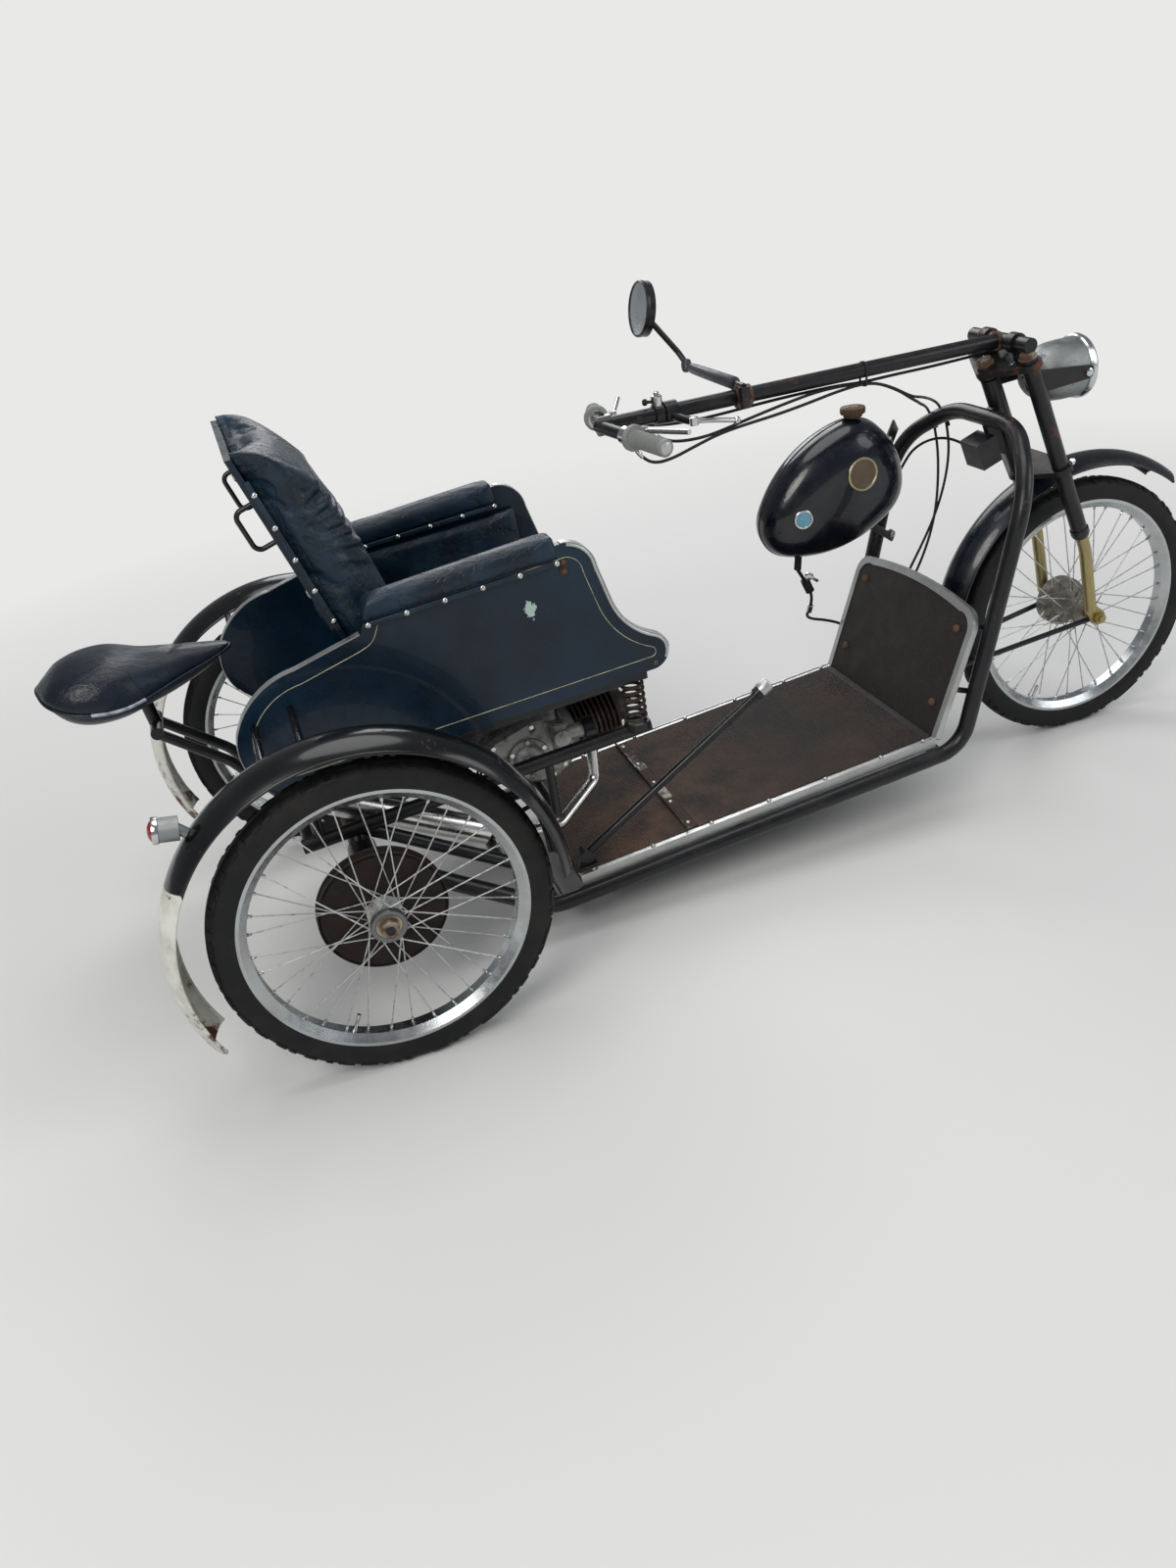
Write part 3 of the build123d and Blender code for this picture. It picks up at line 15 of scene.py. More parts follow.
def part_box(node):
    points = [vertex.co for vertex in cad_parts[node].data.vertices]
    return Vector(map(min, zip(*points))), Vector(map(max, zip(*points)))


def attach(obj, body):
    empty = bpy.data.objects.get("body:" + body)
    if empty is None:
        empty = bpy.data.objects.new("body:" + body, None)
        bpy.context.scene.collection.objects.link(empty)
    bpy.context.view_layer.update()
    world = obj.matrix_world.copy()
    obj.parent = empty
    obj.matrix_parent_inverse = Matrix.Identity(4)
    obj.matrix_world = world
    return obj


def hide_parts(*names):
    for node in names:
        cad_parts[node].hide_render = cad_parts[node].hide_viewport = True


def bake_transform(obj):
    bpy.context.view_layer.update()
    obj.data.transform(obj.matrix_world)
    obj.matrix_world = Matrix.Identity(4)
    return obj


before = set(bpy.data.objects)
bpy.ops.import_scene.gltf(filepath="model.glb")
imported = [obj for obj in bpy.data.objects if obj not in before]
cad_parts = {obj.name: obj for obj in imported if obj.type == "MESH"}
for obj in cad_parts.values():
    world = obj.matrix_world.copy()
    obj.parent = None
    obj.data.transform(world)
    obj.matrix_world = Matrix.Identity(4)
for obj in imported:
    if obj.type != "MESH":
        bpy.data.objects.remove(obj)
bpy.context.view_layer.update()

# %% [markdown]
# ## One way to say where a thing is
#
# The carriage was measured in millimetres from a point on the ground under its rear axle.
# Blender works in metres, and the frame's own origin lies further forward.
# One small helper turns the first into the second, so that each later step can speak in plain millimetres.

# %% Places in millimetres from the rear axle
MM = 0.001
AXLE_BACK = 769.5
AXLE_HEIGHT = 299
REAR_WHEEL_OUT = 447.5
FLOOR_SLOPE = 0.096
SIDES = ((-1, "right"), (1, "left"))


def spot(x, y, z):
    """A place given in millimetres from the ground under the rear axle."""
    return Vector(((x - AXLE_BACK) * MM, y * MM, z * MM))


def floor_top(x):
    """The height of the floor's top. The floor rises a little towards the front."""
    return 126 + FLOOR_SLOPE * (x - 400)


def board_line(z):
    """How far forward the middle of the backrest's board is at a height. The board leans back."""
    return 42 - 0.319 * (z - 735)


WHEEL_PLACES = {
    "front": (spot(1715, 0, AXLE_HEIGHT), "front_wheel"),
    "rear_left": (spot(0, REAR_WHEEL_OUT, AXLE_HEIGHT), "rear_wheel_left"),
    "rear_right": (spot(0, -REAR_WHEEL_OUT, AXLE_HEIGHT), "rear_wheel_right"),
}
print("Wheelbase in metres:", round(WHEEL_PLACES["front"][0].x - WHEEL_PLACES["rear_left"][0].x, 3))

# %% [markdown]
# ## The camera
#
# The viewer stands to the right of the seat and a little behind it, and looks down at the carriage.
# The picture is also tilted, because the viewer held the camera askew.
# A camera could be aimed with a Track To constraint, but that can't give the tilt.
# Here the three directions of the view are worked out from turn, dip and tilt, and written into its matrix.

# %% Camera at the viewer's place
TURN, DIP, TILT = (math.radians(angle) for angle in (14.32, 28.49, 8.79))
ahead = Vector((math.sin(TURN) * math.cos(DIP), math.cos(TURN) * math.cos(DIP), -math.sin(DIP)))
level_right = Vector((math.cos(TURN), -math.sin(TURN), 0))
level_down = ahead.cross(level_right)
right = level_right * math.cos(TILT) + level_down * math.sin(TILT)
down = level_down * math.cos(TILT) - level_right * math.sin(TILT)
bpy.ops.object.camera_add(location=spot(-80, -2285, 1472))
viewer = bpy.context.object
viewer.name = "viewer"
axes = Matrix((right, -down, -ahead)).transposed().to_4x4()
viewer.matrix_world = Matrix.Translation(viewer.location) @ axes
viewer.data.sensor_fit = "VERTICAL"
viewer.data.sensor_height = 36
viewer.data.lens = 28.67
bpy.context.scene.camera = viewer
bpy.context.scene.view_settings.view_transform = "Standard"
print("Camera stands", round(viewer.location.z, 2), "m above the ground")

# %% [markdown]
# ## Colours and node recipes
#
# Each finish below is a small network of nodes. Most of them are the same few steps:
# a noise picks where something happens, a map range sharpens it, a mix changes the colour,
# and a bump dents the surface. They are written here once, as short calls, and a finish reads like a recipe.
# All patterns use Object coordinates, because each piece's place is in its mesh and never slides.


# %% Short calls for building materials
def tint(code):
    """A colour written as six hex digits, as Blender's linear numbers."""
    parts = [int(code[i:i + 2], 16) / 255 for i in (0, 2, 4)]
    return [p / 12.92 if p <= 0.04045 else ((p + 0.055) / 1.055) ** 2.4 for p in parts] + [1.0]


class Finish:
    """One material, with calls that add a node and hand back its output."""

    def __init__(self, name, colour, rough, metal=0.0, coat=0.0):
        self.material = bpy.data.materials.new(name)
        self.material.use_nodes = True
        self.tree = self.material.node_tree
        self.shader = self.tree.nodes["Principled BSDF"]
        self.place = self.tree.nodes.new("ShaderNodeTexCoord").outputs["Object"]
        self.put("Base Color", tint(colour))
        self.put("Roughness", rough)
        self.put("Metallic", metal)
        self.put("Coat Weight", coat)

    def put(self, socket, value):
        """Set a socket of the shader, or join an output to it."""
        self.join(value, self.shader.inputs[socket])

    def join(self, value, socket):
        """Link an output to a socket, or set the socket to a value."""
        if isinstance(value, bpy.types.NodeSocket):
            self.tree.links.new(value, socket)
        else:
            socket.default_value = value

    def node(self, kind, inputs, output=0, **settings):
        """Add a node, fill its inputs and hand back one of its outputs."""
        new = self.tree.nodes.new("ShaderNode" + kind)
        for name, value in settings.items():
            setattr(new, name, value)
        for key, value in inputs.items():
            self.join(value, new.inputs[key])
        return new.outputs[output]

    def noise(self, scale, detail=4.0, rough=0.6, where=None):
        """Soft random patches, about one over scale metres wide."""
        inputs = {"Vector": where or self.place, "Scale": scale, "Detail": detail, "Roughness": rough}
        return self.node("TexNoise", inputs, "Fac")

    def between(self, value, low, high, start=0.0, end=1.0):
        """Stretch the part of a value from low to high over start to end."""
        keys = {"Value": value, "From Min": low, "From Max": high, "To Min": start, "To Max": end}
        return self.node("MapRange", keys)

    def sums(self, operation, first, second=0.0):
        """One step of arithmetic."""
        return self.node("Math", {0: first, 1: second}, operation=operation)

    def times(self, first, second):
        return self.sums("MULTIPLY", first, second)

    def stretched(self, place, factors):
        """A place with each of its coordinates multiplied by a factor."""
        return self.node("VectorMath", {0: place, 1: factors}, operation="MULTIPLY")

    def length(self, place):
        """How far a place is from nought."""
        return self.node("VectorMath", {0: place}, "Value", operation="LENGTH")

    def ridges(self, letter, per_metre):
        """Soft ridges across one axis."""
        return self.between(self.sums("SINE", self.times(self.axis(letter), per_metre)), -1, 1)

    def mix(self, factor, first, second):
        """One colour turning into another as factor goes from 0 to 1."""
        new = self.tree.nodes.new("ShaderNodeMix")
        new.data_type = "RGBA"
        colours = [socket for socket in new.inputs if socket.type == "RGBA"]
        for value, socket in zip((factor, first, second), (new.inputs["Factor"], *colours)):
            self.join(value, socket)
        return [socket for socket in new.outputs if socket.type == "RGBA"][0]

    def bump(self, height, depth, strength=1.0, under=None):
        """Dent the surface by a height pattern, depth metres deep."""
        keys = {"Height": height, "Distance": depth, "Strength": strength}
        if under is not None:
            keys["Normal"] = under
        out = self.node("Bump", keys, "Normal")
        self.put("Normal", out)
        return out

    def axis(self, letter, where=None):
        """One coordinate of the place."""
        return self.node("SeparateXYZ", {0: where or self.place}, letter)

    def around(self, centre):
        """The place measured from a centre."""
        return self.node("VectorMath", {0: self.place, 1: centre}, operation="SUBTRACT")


RUST = tint("6b3a22")
RUST_DARK = tint("35201a")
DUST = tint("5d5247")
print("Recipe calls are ready")

# %% [markdown]
# ## Painted steel with rust coming through
#
# The frame is black enamel over steel. After many years it is chipped, and brown rust spreads from the chips.
# Dust settles in faint clouds over the gloss, and makes it duller.
# One function makes every old painted surface here, with its own colour, gloss and share of rust.


# %% Old enamel
def old_enamel(name, colour, rough=0.3, rusted=0.34, coat=0.15, second="121317"):
    """Gloss paint with faded clouds, dust and rusty chips. A larger rusted gives more rust."""
    paint = Finish(name, colour, rough, coat=coat)
    cloud = paint.between(paint.noise(7, 3), 0.35, 0.75)
    body = paint.mix(cloud, tint(colour), tint(second))
    paint.put("Specular IOR Level", 0.36)
    dusty = paint.between(paint.noise(23, 6), 0.5, 0.85, 0, 0.16)
    body = paint.mix(dusty, body, DUST)
    patch = paint.noise(11, 8, 0.72)
    rust = paint.between(patch, 0.72 - rusted * 0.35, 0.78 - rusted * 0.3)
    rust_colour = paint.mix(paint.noise(140, 3), RUST_DARK, RUST)
    paint.put("Base Color", paint.mix(rust, body, rust_colour))
    dull = paint.between(paint.noise(31, 5), 0.3, 0.8, rough, rough + 0.25)
    paint.put("Roughness", paint.sums("MAXIMUM", dull, paint.times(rust, 0.85)))
    grit = paint.times(paint.noise(420, 2), paint.sums("ADD", rust, 0.08))
    paint.bump(grit, 0.0012, 0.7)
    return paint.material


frame_enamel = old_enamel("frame enamel", "0b0c10", 0.28, 0.36)
yoke_enamel = old_enamel("rusty yoke enamel", "120f0e", 0.42, 0.5, coat=0.1)
tank_enamel = old_enamel("tank enamel", "04070f", 0.14, 0.1, coat=0.4, second="080f1e")
front_guard_enamel = old_enamel("front guard enamel", "060a14", 0.22, 0.2, coat=0.3, second="0c1422")
lamp_enamel = old_enamel("lamp enamel", "0d0e11", 0.25, 0.2)
print("Enamels:", len(bpy.data.materials))

# %% [markdown]
# ## Rear mudguards with white tails
#
# Each rear mudguard is black, but its tail is painted white, so that others see the carriage at night.
# The finish measures each place from the wheels' axle.
# It paints white what is behind the wheel and low enough.
# The white paint is the most weathered, with rust along its lower end.

# %% Guard paint, black with a white tail
guards = Finish("guard enamel with white tail", "08090c", 0.2, coat=0.3)
guards.put("Specular IOR Level", 0.4)
from_axle = guards.around(spot(0, 0, AXLE_HEIGHT))
behind = guards.between(guards.axis("X", from_axle), -0.2995, -0.3005)
tail = guards.times(behind, guards.between(guards.axis("Z", from_axle), 0.176, 0.174))
white = guards.mix(guards.between(guards.noise(18, 6), 0.4, 0.7), tint("d9d8d0"), tint("aaa79a"))
black = guards.mix(guards.between(guards.noise(9, 4), 0.4, 0.8), tint("060709"), tint("15171b"))
skin = guards.mix(tail, black, white)
worn = guards.between(guards.noise(24, 8, 0.75), 0.63, 0.68)
low_end = guards.between(guards.axis("Z", from_axle), 0.1, -0.16)
low_patches = guards.sums("ADD", guards.noise(16, 9, 0.75), guards.times(low_end, 0.16))
rust_low = guards.between(low_patches, 0.62, 0.68)
rust_all = guards.sums("MAXIMUM", worn, guards.times(rust_low, behind))
guards.put("Base Color", guards.mix(rust_all, skin, guards.mix(guards.noise(160), RUST_DARK, RUST)))
guards.put("Roughness", guards.between(rust_all, 0, 1, 0.2, 0.85))
guards.bump(guards.times(guards.noise(380, 2), guards.sums("ADD", rust_all, 0.05)), 0.001, 0.7)
guard_enamel = guards.material
print("White tails lie 0.3 m and more behind the axle")

# %% [markdown]
# ## Metals
#
# Chrome is a smooth metal with small brown specks where water got under it.
# Cast alloy is dull and grainy, and oil keeps dirt in its low places.
# Bare iron and old springs are simply rusty. These are three recipes with a few numbers changed.


# %% Plated, cast and rusty metal
def plated(name, colour="c9cbcc", rough=0.12, specks=0.5, haze=0.2):
    """Bright metal with rust specks and a dull haze."""
    metal = Finish(name, colour, rough, metal=1.0)
    speck = metal.between(metal.noise(150, 6, 0.7), 0.74 - specks * 0.12, 0.8 - specks * 0.1)
    stain = metal.between(metal.noise(14, 5), 0.45, 0.8, 0, 0.45)
    base = metal.mix(stain, tint(colour), tint("8d8378"))
    metal.put("Base Color", metal.mix(speck, base, RUST))
    dull = metal.between(metal.noise(35, 5), 0.3, 0.8, rough, rough + haze)
    metal.put("Roughness", metal.sums("MAXIMUM", dull, metal.times(speck, 0.8)))
    metal.put("Metallic", metal.between(speck, 0, 1, 1, 0.2))
    metal.bump(metal.sums("ADD", metal.noise(240, 3), speck), 0.0003, 0.4)
    return metal.material


def cast(name, colour, dirt, share):
    """Grainy cast metal with patches of dirt."""
    metal = Finish(name, colour, 0.5, metal=0.75)
    grime = metal.between(metal.noise(26, 8, 0.7), 0.66 - share * 0.35, 0.72 - share * 0.1)
    grain = metal.noise(900, 2)
    clean = metal.mix(metal.noise(60), tint(colour), tint("6f6c66"))
    metal.put("Base Color", metal.mix(grime, clean, tint(dirt)))
    metal.put("Roughness", metal.between(grime, 0, 1, 0.5, 0.85))
    metal.put("Metallic", metal.between(grime, 0, 1, 0.75, 0.15))
    metal.bump(metal.sums("ADD", grain, metal.times(grime, 1.5)), 0.0006, 0.6)
    return metal.material


def rusty(name, colour="4a2c20", bright="7d4a2c", left="5e5a55", share=0.4):
    """Rusted steel, with bare grey metal left in some places."""
    metal = Finish(name, colour, 0.8)
    patches = metal.noise(30, 8, 0.7)
    brown = metal.mix(patches, tint(colour), tint(bright))
    bare = metal.between(metal.noise(17, 6), 0.72 - share * 0.3, 0.8 - share * 0.25)
    metal.put("Base Color", metal.mix(bare, brown, tint(left)))
    metal.put("Metallic", metal.between(bare, 0, 1, 0.1, 0.8))
    metal.put("Roughness", metal.between(bare, 0, 1, 0.82, 0.4))
    metal.bump(metal.noise(260, 6, 0.7), 0.0016, 0.6)
    return metal.material


chrome = plated("old chrome")
rim_chrome = plated("rim chrome", "b7bbbd", 0.16, 0.7, 0.25)
bright_pipe = plated("bright pipe", "e4e3e0", 0.2, 0.2, 0.12)
aluminium = plated("trim aluminium", "c3c5c5", 0.34, 0.3, 0.25)
slider_plate = plated("fork slider plating", "a3966a", 0.25, 0.7, 0.3)
lamp_silver = plated("lamp silver", "94999a", 0.38, 1.1, 0.35)
mirror_silver = plated("mirror silver", "e8ecee", 0.02, 0.0, 0.03)
engine_alloy = cast("engine alloy", "b4b5b4", "2a221c", 0.4)
cylinder_iron = rusty("cylinder iron", "1f1a18", "3d2b23", "5a5650", 0.5)
drum_rust = rusty("rusty drum steel", "16110f", "2f1f18", "3a3532", 0.3)
spring_rust = rusty("rusty spring steel", "1d1718", "3d2a26", "56534f", 0.6)
cap_rust = rusty("rusty cap steel", "40332a", "6b4f3a", "a29a8e", 0.7)
worn_grey = old_enamel("worn grey enamel", "2b2d31", 0.4, 0.3, second="3a3c40")
hub_ring_steel = plated("hub ring steel", "77787a", 0.28, 0.8, 0.3)
worn_steel = rusty("worn steel", "221c1a", "43322a", "75706a", 0.6)
print("Metals:", len(bpy.data.materials))


# %% Hubs, whose spokes are brighter than the rest
def spoked(name, colour, bright, rough, spoke_mask):
    """Rusty hub steel with galvanised spokes. spoke_mask tells them apart by where they are."""
    hub = Finish(name, colour, rough)
    is_spoke = spoke_mask(hub)
    patches = hub.between(hub.noise(34, 8, 0.7), 0.35, 0.7)
    zinc = hub.mix(hub.between(hub.noise(90, 5), 0.5, 0.75), tint("c3c5c4"), tint("77716a"))
    hub.put("Base Color", hub.mix(is_spoke, hub.mix(patches, tint(colour), tint(bright)), zinc))
    hub.put("Metallic", hub.between(is_spoke, 0, 1, 0.3, 0.75))
    hub.put("Roughness", hub.between(is_spoke, 0, 1, rough, 0.36))
    hub.bump(hub.noise(260, 5, 0.7), 0.0009, 0.5)
    return hub.material


def beyond_drum(hub):
    """The spokes and flanges lie further out along the axle than the drum's outer face."""
    return hub.between(hub.sums("ABSOLUTE", hub.axis("Y")), 0.4279, 0.4282)


def beyond_front_hub(hub):
    """The front spokes start where the hub's own radius ends."""
    from_axle_line = hub.stretched(hub.around(WHEEL_PLACES["front"][0]), (1, 0, 1))
    return hub.between(hub.length(from_axle_line), 0.057, 0.059)


rear_hub_steel = spoked("rear hub steel", "100c0b", "271812", 0.75, beyond_drum)
front_hub_steel = spoked("front hub steel", "8b8a84", "5a4f44", 0.45, beyond_front_hub)


# %% Small paints in two tones
def two_tones(name, colour, rough, clouds, first, second, coat=0.0):
    """Paint with clouds of a second tone.

    clouds is the scale and detail of a noise, and the two values between which the tones mix.
    """
    paint = Finish(name, colour, rough, coat=coat)
    scale, detail, low, high = clouds
    share = paint.between(paint.noise(scale, detail), low, high)
    paint.put("Base Color", paint.mix(share, tint(first), tint(second)))
    return paint.material


stripe_paint = two_tones("pinstripe paint", "b9b38f", 0.4, (60, 6, 0.35, 0.7), "c2bb93", "7d7b66")
# The pale blue of the saddle's worn edge is partly wear and partly a painted highlight.
worn_blue_and_highlight = two_tones("worn saddle edge with painted highlight", "8490a0", 0.5, (70, 5, 0.4, 0.7), "a7aebb", "4d5560")
porcelain = two_tones("plug porcelain", "d8d4c8", 0.2, (90, 5, 0.45, 0.8), "dcd8cc", "8d8069", 0.4)

# %% [markdown]
# ## Rubber, wood and painted board
#
# The floor mat is ribbed rubber, brown with dried mud, and its ribs run across the carriage 5 mm apart.
# A rib could be modelled, but there are more than two hundred of them.
# So a wave pattern dents the surface instead.
# The plywood of the floor shows its layers only at the edges, and elsewhere it is dark with age.

# %% Ribbed mat
RIB = 0.005
BOARD_FOOT = 0.418
mat = Finish("ribbed mat rubber", "2b211d", 0.8)


def ribs_across(letter):
    """Round ribs, one every 5 mm of a coordinate."""
    waves = mat.times(mat.sums("DIVIDE", mat.axis(letter), RIB), math.pi)
    return mat.sums("ABSOLUTE", mat.sums("SINE", waves))


steep = mat.between(mat.axis("X"), BOARD_FOOT - 0.001, BOARD_FOOT + 0.001)
rib_height = mat.node("Mix", {0: steep, 2: ribs_across("X"), 3: ribs_across("Z")})
# Painted shadow: the mud thins out towards the front, so the front of the floor, where the front board casts
# its shadow, is painted darker along a wavy line.
wavy_back = mat.sums("ADD", mat.axis("X"), mat.between(mat.noise(5, 4), 0.2, 0.8, -0.12, 0.12))
mud_and_shadow = mat.between(mat.noise(6, 8, 0.65), 0.38, 0.68, 0, 0.9)
mud_and_shadow = mat.times(mud_and_shadow, mat.between(wavy_back, 0.12, -0.12, 0.25, 1))
tone = mat.mix(mud_and_shadow, tint("1f1917"), tint("7a5d4b"))
# Painted shade: the upright part of the mat, on the front board, is painted nearly black.
tone = mat.mix(mat.times(steep, 0.92), tone, tint("111112"))
# Painted shade: the grooves between the ribs are painted darker.
tone = mat.mix(mat.between(rib_height, 0.0, 0.5, 0.75, 0), tone, tint("120e0c"))
rust_spot = mat.between(mat.noise(10, 7, 0.7), 0.66, 0.72, 0, 0.7)
mat.put("Base Color", mat.mix(rust_spot, tone, tint("6e4129")))
mat.put("Roughness", mat.between(mud_and_shadow, 0, 0.8, 0.62, 0.92))
mat.bump(rib_height, 0.002, 1.0)
mat_rubber = mat.material


# %% Plain rubber, wood and leather-cloth colours
def rubber(name, colour, dusty="3a3835", rough=0.6):
    """Moulded rubber with a fine grain and pale dust."""
    skin = Finish(name, colour, rough)
    skin.put("Specular IOR Level", 0.3)
    cloud = skin.between(skin.noise(18, 6), 0.45, 0.8, 0, 0.6)
    skin.put("Base Color", skin.mix(cloud, tint(colour), tint(dusty)))
    skin.put("Roughness", skin.between(cloud, 0, 0.6, rough, 0.85))
    skin.bump(skin.noise(500, 3), 0.0004, 0.5)
    return skin.material


def old_board(name, colour, light):
    """Dark plywood, with its layers as thin lines at the edges."""
    wood = Finish(name, colour, 0.7)
    along_grain = wood.stretched(wood.place, (6, 60, 60))
    grain = wood.node("TexNoise", {"Vector": along_grain, "Scale": 4.0, "Detail": 6.0}, "Fac")
    wood.put("Base Color", wood.mix(wood.between(grain, 0.35, 0.75), tint(colour), tint(light)))
    wood.put("Roughness", wood.between(wood.noise(20), 0.3, 0.8, 0.55, 0.85))
    wood.bump(grain, 0.0008, 0.5)
    return wood.material


tyre_plain = rubber("tyre rubber", "0e0f12", "34302b", 0.6)
grip_grey = rubber("grey grip rubber", "7d807e", "a09c92", 0.55)
hose_black = rubber("hose rubber", "101113")
cable_black = rubber("cable sheath", "0d0e10", "2e2c2a", 0.42)
floor_wood = old_board("floor plywood", "161312", "2b231e")
print("Rubber and wood are ready")

# %% [markdown]
# ## Seat finishes
#
# The side panels are painted a deep blue that looks nearly black in shade, under a clear coat.
# The upholstery is dark blue leather-cloth with a fine pressed grain, paler where it has been sat on.
# Its creases are a stretched noise, because a real crease is long and narrow, and each crease is painted dark
# as painted shade.

# %% Panel paint and leather-cloth
panel = Finish("panel enamel", "0a2030", 0.16, coat=0.15)
panel.put("Specular IOR Level", 0.28)
panel_cloud = panel.between(panel.noise(5, 3), 0.35, 0.7)
panel_tone = panel.mix(panel_cloud, tint("061420"), tint("0a2437"))
chip = panel.between(panel.noise(19, 7, 0.7), 0.735, 0.745)
from_scar = panel.length(panel.stretched(panel.around(spot(386, -240, 699)), (1.3, 1, 0.75)))
ragged = panel.sums("ADD", from_scar, panel.between(panel.noise(110, 5), 0.3, 0.7, -0.006, 0.006))
panel_tone = panel.mix(panel.between(ragged, 0.0135, 0.0125), panel_tone, tint("9fb8b0"))
panel.put("Base Color", panel.mix(chip, panel_tone, tint("7f9a9c")))
panel.put("Roughness", panel.between(panel.noise(26, 6), 0.3, 0.8, 0.2, 0.42))
panel.bump(panel.noise(70, 2), 0.0005, 0.25)
panel_enamel = panel.material


def leather_cloth(name, colour, worn, gloss=0.34, crease=1.0):
    """Pressed grain, long creases and worn patches."""
    cloth = Finish(name, colour, gloss)
    cloth.put("Specular IOR Level", 0.4)
    grain = cloth.node("TexVoronoi", {"Vector": cloth.place, "Scale": 620.0}, "Distance")
    long_noise = cloth.noise(13, 5, 0.6, cloth.stretched(cloth.place, (1, 3, 1)))
    creases = cloth.between(cloth.sums("ABSOLUTE", cloth.sums("SUBTRACT", long_noise, 0.5)), 0, 0.045)
    rub = cloth.between(cloth.noise(9, 6), 0.42, 0.78, 0, 0.75)
    base = cloth.mix(rub, tint(colour), tint(worn))
    # Painted shade: the creases are painted darker along their lines.
    cloth.put("Base Color", cloth.mix(cloth.between(creases, 0, 1, 0.5, 0), base, tint("05080c")))
    cloth.put("Roughness", cloth.between(rub, 0, 0.75, gloss, gloss + 0.22))
    fine = cloth.bump(grain, 0.0003, 0.55)
    cloth.bump(creases, 0.0011 * crease, 0.6, fine)
    return cloth.material


seat_cloth = leather_cloth("seat leather-cloth", "091a29", "1a384b")
saddle_cloth = leather_cloth("saddle leather", "081320", "162a3d", 0.3, 0.6)

# %% Glass
clear = Finish("lamp glass", "eef2f2", 0.04)
clear.put("Transmission Weight", 1.0)
clear.put("IOR", 1.45)
clear.bump(clear.ridges("Y", 700.0), 0.0012, 0.5)
clear_glass = clear.material
red = Finish("tail lamp glass", "7a0d0c", 0.12, coat=0.5)
red.put("Base Color", red.mix(red.noise(60), tint("6a0a09"), tint("9c1a14")))
red.bump(red.ridges("Z", 900.0), 0.0008, 0.6)
red_glass = red.material
print("Finishes in all:", len(bpy.data.materials))

# %% [markdown]
# ## Giving the CAD pieces their finishes
#
# A CAD piece whose shape is right keeps its mesh, and only its material slots change.
# The table pairs each finish with the pieces that wear it.

# %% Table of finishes
WEARS = {
    frame_enamel: "main_frame seat_frame saddle_bracket seat_bearers tiller handlebar hand_lever coil_box "
                  "headlight_ears mirror_arm fork_legs chain_case",
    yoke_enamel: "fork_yokes rear_axle",
    tank_enamel: "fuel_tank",
    front_guard_enamel: "front_guard",
    guard_enamel: "rear_guards",
    lamp_enamel: "mirror_head push_handles",
    lamp_silver: "headlight_shell tail_lamp",
    chrome: "hand_levers",
    rim_chrome: "rim_front rim_rear_left rim_rear_right",
    bright_pipe: "exhaust",
    aluminium: "floor_trim board_trim panel_edging",
    slider_plate: "fork_sliders front_axle",
    mirror_silver: "mirror_glass",
    engine_alloy: "engine_crankcase carburettor",
    front_hub_steel: "hub_front",
    cylinder_iron: "engine_cylinder",
    rear_hub_steel: "hub_rear_left hub_rear_right",
    spring_rust: "seat_springs",
    cap_rust: "tank_cap",
    mat_rubber: "floor_mat",
    tyre_plain: "tyre_front tyre_rear_left tyre_rear_right",
    grip_grey: "grips",
    hose_black: "fuel_line",
    cable_black: "tiller_cables frame_cables",
    floor_wood: "floor_board front_board seat_base",
    worn_steel: "floor_strip",
    panel_enamel: "seat_panels backrest_board",
    seat_cloth: "armrests seat_cushion backrest_pad",
    saddle_cloth: "saddle",
    clear_glass: "headlight_glass",
}
dressed = set()
for finish, names in WEARS.items():
    for name in names.split():
        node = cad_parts[name]
        node.data.materials.clear()
        node.data.materials.append(finish)
        dressed.add(name)
print("Without a finish:", sorted(set(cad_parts) - dressed))

# %% [markdown]
# ## Tools for shaping pieces
#
# New pieces are made as a person would make them by hand in edit mode.
# Three habits repeat. Choose one object alone. Choose some of its faces or corners by where they are.
# At the end put the place into the mesh, join doubled corners, turn the faces outwards and name the piece.


# %% Choosing and finishing
def only(*pieces):
    """Select these pieces alone. The first one is the active one."""
    bpy.ops.object.select_all(action="DESELECT")
    for piece in pieces:
        piece.select_set(True)
    bpy.context.view_layer.objects.active = pieces[0]


def edit(piece, kind, wanted):
    """Enter edit mode with the faces, edges or corners for which wanted(middle, direction) is true."""
    only(piece)
    mesh = piece.data
    for parts in (mesh.vertices, mesh.edges, mesh.polygons):
        parts.foreach_set("select", [False] * len(parts))
    if kind == "FACE":
        for face in mesh.polygons:
            face.select = bool(wanted(face.center, face.normal))
    else:
        for corner in mesh.vertices:
            corner.select = bool(wanted(corner.co, corner.normal))
    bpy.context.tool_settings.mesh_select_mode = (kind == "VERT", kind == "EDGE", kind == "FACE")
    bpy.ops.object.mode_set(mode="EDIT")


def leave():
    """Go back to object mode."""
    bpy.ops.object.mode_set(mode="OBJECT")


def fit(piece, name, finish, body, angle=35):
    """Put the piece's place in its mesh, tidy it, and say what it is and what it moves with.

    A piece that bends between two bodies is given no body here.
    """
    only(piece)
    bpy.ops.object.transform_apply(location=True, rotation=True, scale=True)
    edit(piece, "VERT", lambda corner, normal: True)
    bpy.ops.mesh.remove_doubles(threshold=0.00001)
    bpy.ops.mesh.normals_make_consistent(inside=False)
    leave()
    bpy.ops.object.shade_smooth_by_angle(angle=math.radians(angle))
    piece.name = name
    piece.data.name = name
    piece.data.materials.clear()
    piece.data.materials.append(finish)
    if body:
        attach(piece, body)
    return piece


